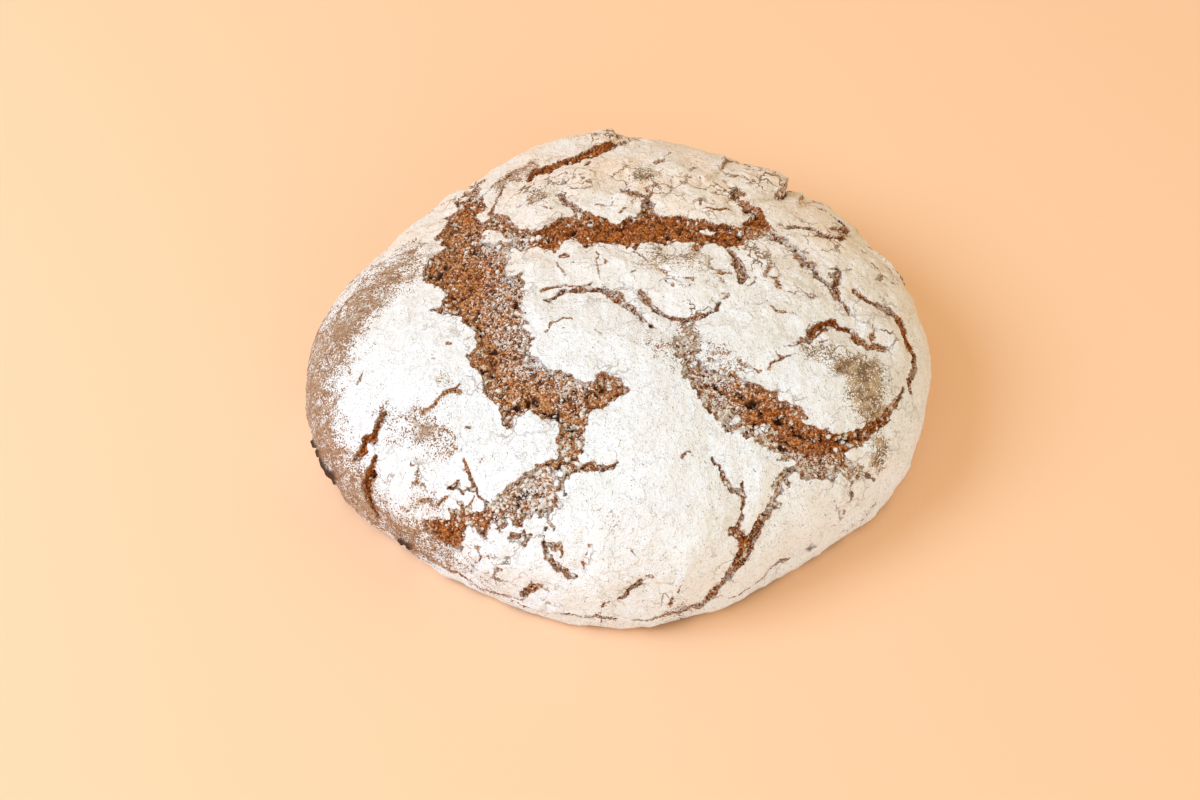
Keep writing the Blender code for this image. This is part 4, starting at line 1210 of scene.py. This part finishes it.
def scatter_tree():
    """Uneven grains strewn on a bed where one of its painted fields is high."""
    tree = bpy.data.node_groups.new("strewn_grains", "GeometryNodeTree")
    for name, kind in SCATTER_INPUTS:
        tree.interface.new_socket(name, in_out="INPUT", socket_type=kind)
    tree.interface.new_socket("Grains", in_out="OUTPUT", socket_type="NodeSocketGeometry")
    given, result = tree.nodes.new("NodeGroupInput"), tree.nodes.new("NodeGroupOutput")

    def add(kind, **settings):
        node = tree.nodes.new(kind)
        for name, value in settings.items():
            setattr(node, name, value)
        return node

    def join(output, socket):
        tree.links.new(output, socket)

    where = add("GeometryNodeInputNamedAttribute", data_type="FLOAT")
    join(given.outputs["Where"], where.inputs["Name"])
    density = add("ShaderNodeMath", operation="MULTIPLY")
    join(where.outputs["Attribute"], density.inputs[0])
    join(given.outputs["Per Square Metre"], density.inputs[1])
    strewn = add("GeometryNodeDistributePointsOnFaces", distribute_method="RANDOM")
    join(given.outputs["Bed"], strewn.inputs["Mesh"])
    join(density.outputs["Value"], strewn.inputs["Density"])
    join(given.outputs["Pattern"], strewn.inputs["Seed"])
    ball = add("GeometryNodeMeshIcoSphere")
    ball.inputs["Radius"].default_value = 1.0
    ball.inputs["Subdivisions"].default_value = 1
    uneven = add("ShaderNodeTexNoise")
    uneven.inputs["Scale"].default_value = 1.3
    centred = add("ShaderNodeVectorMath", operation="SUBTRACT")
    centred.inputs[1].default_value = (0.5, 0.5, 0.5)
    join(uneven.outputs["Color"], centred.inputs[0])
    dented = add("GeometryNodeSetPosition")
    join(ball.outputs["Mesh"], dented.inputs["Geometry"])
    join(centred.outputs["Vector"], dented.inputs["Offset"])
    size = add("FunctionNodeRandomValue", data_type="FLOAT")
    join(given.outputs["Smallest"], size.inputs[2])
    join(given.outputs["Largest"], size.inputs[3])
    join(given.outputs["Pattern"], size.inputs["Seed"])
    length = add("FunctionNodeRandomValue", data_type="FLOAT")
    length.inputs[2].default_value, length.inputs[3].default_value = 0.8, 1.7
    long_side = add("ShaderNodeMath", operation="MULTIPLY")
    join(size.outputs[1], long_side.inputs[0])
    join(length.outputs[1], long_side.inputs[1])
    thick = add("ShaderNodeMath", operation="MULTIPLY")
    join(size.outputs[1], thick.inputs[0])
    join(given.outputs["Thickness"], thick.inputs[1])
    sides = add("ShaderNodeCombineXYZ")
    join(long_side.outputs["Value"], sides.inputs["X"])
    join(size.outputs[1], sides.inputs["Y"])
    join(thick.outputs["Value"], sides.inputs["Z"])
    turn = add("FunctionNodeRandomValue", data_type="FLOAT_VECTOR")
    turn.inputs[0].default_value, turn.inputs[1].default_value = (-0.5, -0.5, 0.0), (0.5, 0.5, 6.28)
    lay = add("FunctionNodeRotateRotation", rotation_space="LOCAL")
    join(strewn.outputs["Rotation"], lay.inputs["Rotation"])
    join(turn.outputs[0], lay.inputs["Rotate By"])
    placed = add("GeometryNodeInstanceOnPoints")
    join(strewn.outputs["Points"], placed.inputs["Points"])
    join(dented.outputs["Geometry"], placed.inputs["Instance"])
    join(lay.outputs["Rotation"], placed.inputs["Rotation"])
    join(sides.outputs["Vector"], placed.inputs["Scale"])
    chance = add("FunctionNodeRandomValue", data_type="FLOAT")
    tinted = add("GeometryNodeStoreNamedAttribute", data_type="FLOAT", domain="INSTANCE")
    tinted.inputs["Name"].default_value = "tint"
    join(placed.outputs["Instances"], tinted.inputs["Geometry"])
    join(chance.outputs[1], tinted.inputs["Value"])
    real = add("GeometryNodeRealizeInstances")
    join(tinted.outputs["Geometry"], real.inputs["Geometry"])
    finish = add("GeometryNodeSetMaterial")
    join(real.outputs["Geometry"], finish.inputs["Geometry"])
    join(given.outputs["Finish"], finish.inputs["Material"])
    join(finish.outputs["Geometry"], result.inputs["Grains"])
    return tree


def strew(name, bed, tree, finish, where, crowding, smallest, largest, thickness, pattern):
    """One piece of grains lying on the bed, as a plain mesh; sizes are radii in metres."""
    holder = bpy.data.objects.new("strewing", bed.data)
    bpy.context.scene.collection.objects.link(holder)
    modifier = holder.modifiers.new("strewn", "NODES")
    modifier.node_group = tree
    wanted = (None, where, crowding, smallest, largest, thickness, pattern, finish)
    sockets = [item for item in tree.interface.items_tree if item.in_out == "INPUT"]
    for socket, value in zip(sockets, wanted):
        if value is not None:
            modifier[socket.identifier] = value
    done = holder.evaluated_get(bpy.context.evaluated_depsgraph_get())
    mesh = bpy.data.meshes.new_from_object(done)
    mesh.name = name
    bpy.data.objects.remove(holder)
    for spare in [a.name for a in mesh.attributes if a.name in ("OFBake", "side", "flour", "worn")]:
        mesh.attributes.remove(mesh.attributes[spare])
    places = np.zeros(len(mesh.vertices) * 3, np.float32)
    mesh.vertices.foreach_get("co", places)
    corners = np.zeros(len(mesh.loops), np.int32)
    mesh.loops.foreach_get("vertex_index", corners)
    flat = places.reshape(-1, 3)[corners][:, :2] / GRAIN_MAP + 0.5
    mesh.uv_layers.new(name="OFBake").data.foreach_set("uv", flat.reshape(-1))
    mesh.shade_smooth()
    piece = bpy.data.objects.new(name, mesh)
    bpy.context.scene.collection.objects.link(piece)
    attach(piece, "root")


def strew_grains(crumb):
    """The grains, flour and chips of crust that lie loose in the rifts."""
    tree = scatter_tree()
    strew(
        "crumb_nubs", crumb, tree, nub_material(), where="nubs", crowding=1.5e6,
        smallest=0.0003, largest=0.0009, thickness=0.8, pattern=3,
    )
    strew(
        "flour_specks", crumb, tree, speck_material(), where="specks", crowding=5.1e6,
        smallest=0.00016, largest=0.00042, thickness=0.8, pattern=5,
    )
    strew(
        "crust_chips", crumb, tree, chip_material(), where="chips", crowding=1.8e6,
        smallest=0.0004, largest=0.0014, thickness=0.45, pattern=8,
    )


# ---------------------------------------------------------------- floor, light and camera


def plain(name, colour, roughness):
    material, _, surface = new_material(name, roughness)
    surface.inputs["Base Color"].default_value = colour
    return material


def make_floor():
    bpy.ops.mesh.primitive_plane_add(size=FLOOR_SIZE)
    floor = bpy.context.object
    floor.name = "floor"
    floor.data.materials.append(plain("pale_floor", tone(249, 204, 168), 0.9))


def soft_light(name, place, size, power, colour):
    data = bpy.data.lights.new(name, "AREA")
    data.shape = "DISK"
    data.size = size
    data.energy = power
    data.color = colour
    light = bpy.data.objects.new(name, data)
    light.location = place
    aim_at(light, LIT_PLACE)
    bpy.context.scene.collection.objects.link(light)


def aim_at(thing, target):
    thing.rotation_euler = (Vector(target) - thing.location).to_track_quat("-Z", "Y").to_euler()


def make_light():
    world = bpy.data.worlds.new("studio")
    bpy.context.scene.world = world
    world.use_nodes = True
    surround = world.node_tree.nodes["Background"]
    surround.inputs["Color"].default_value = SURROUND_COLOUR
    surround.inputs["Strength"].default_value = SURROUND_POWER
    for light in LIGHTS:
        soft_light(*light)


def make_camera():
    data = bpy.data.cameras.new("camera")
    data.lens = LENS
    data.sensor_width = SENSOR_WIDTH
    camera = bpy.data.objects.new("camera", data)
    low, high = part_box("loaf")
    foot = ((low.x + high.x) / 2, (low.y + high.y) / 2, low.z)
    target = tuple(start + shift for start, shift in zip(foot, LOOK_AT))
    lift = math.radians(CAMERA_LIFT)
    camera.location = (
        target[0],
        target[1] - CAMERA_DISTANCE * math.cos(lift),
        target[2] + CAMERA_DISTANCE * math.sin(lift),
    )
    aim_at(camera, target)
    bpy.context.scene.collection.objects.link(camera)
    bpy.context.scene.camera = camera


strew_grains(make_loaf())
make_floor()
make_light()
make_camera()
bpy.context.scene.view_settings.view_transform = "Standard"
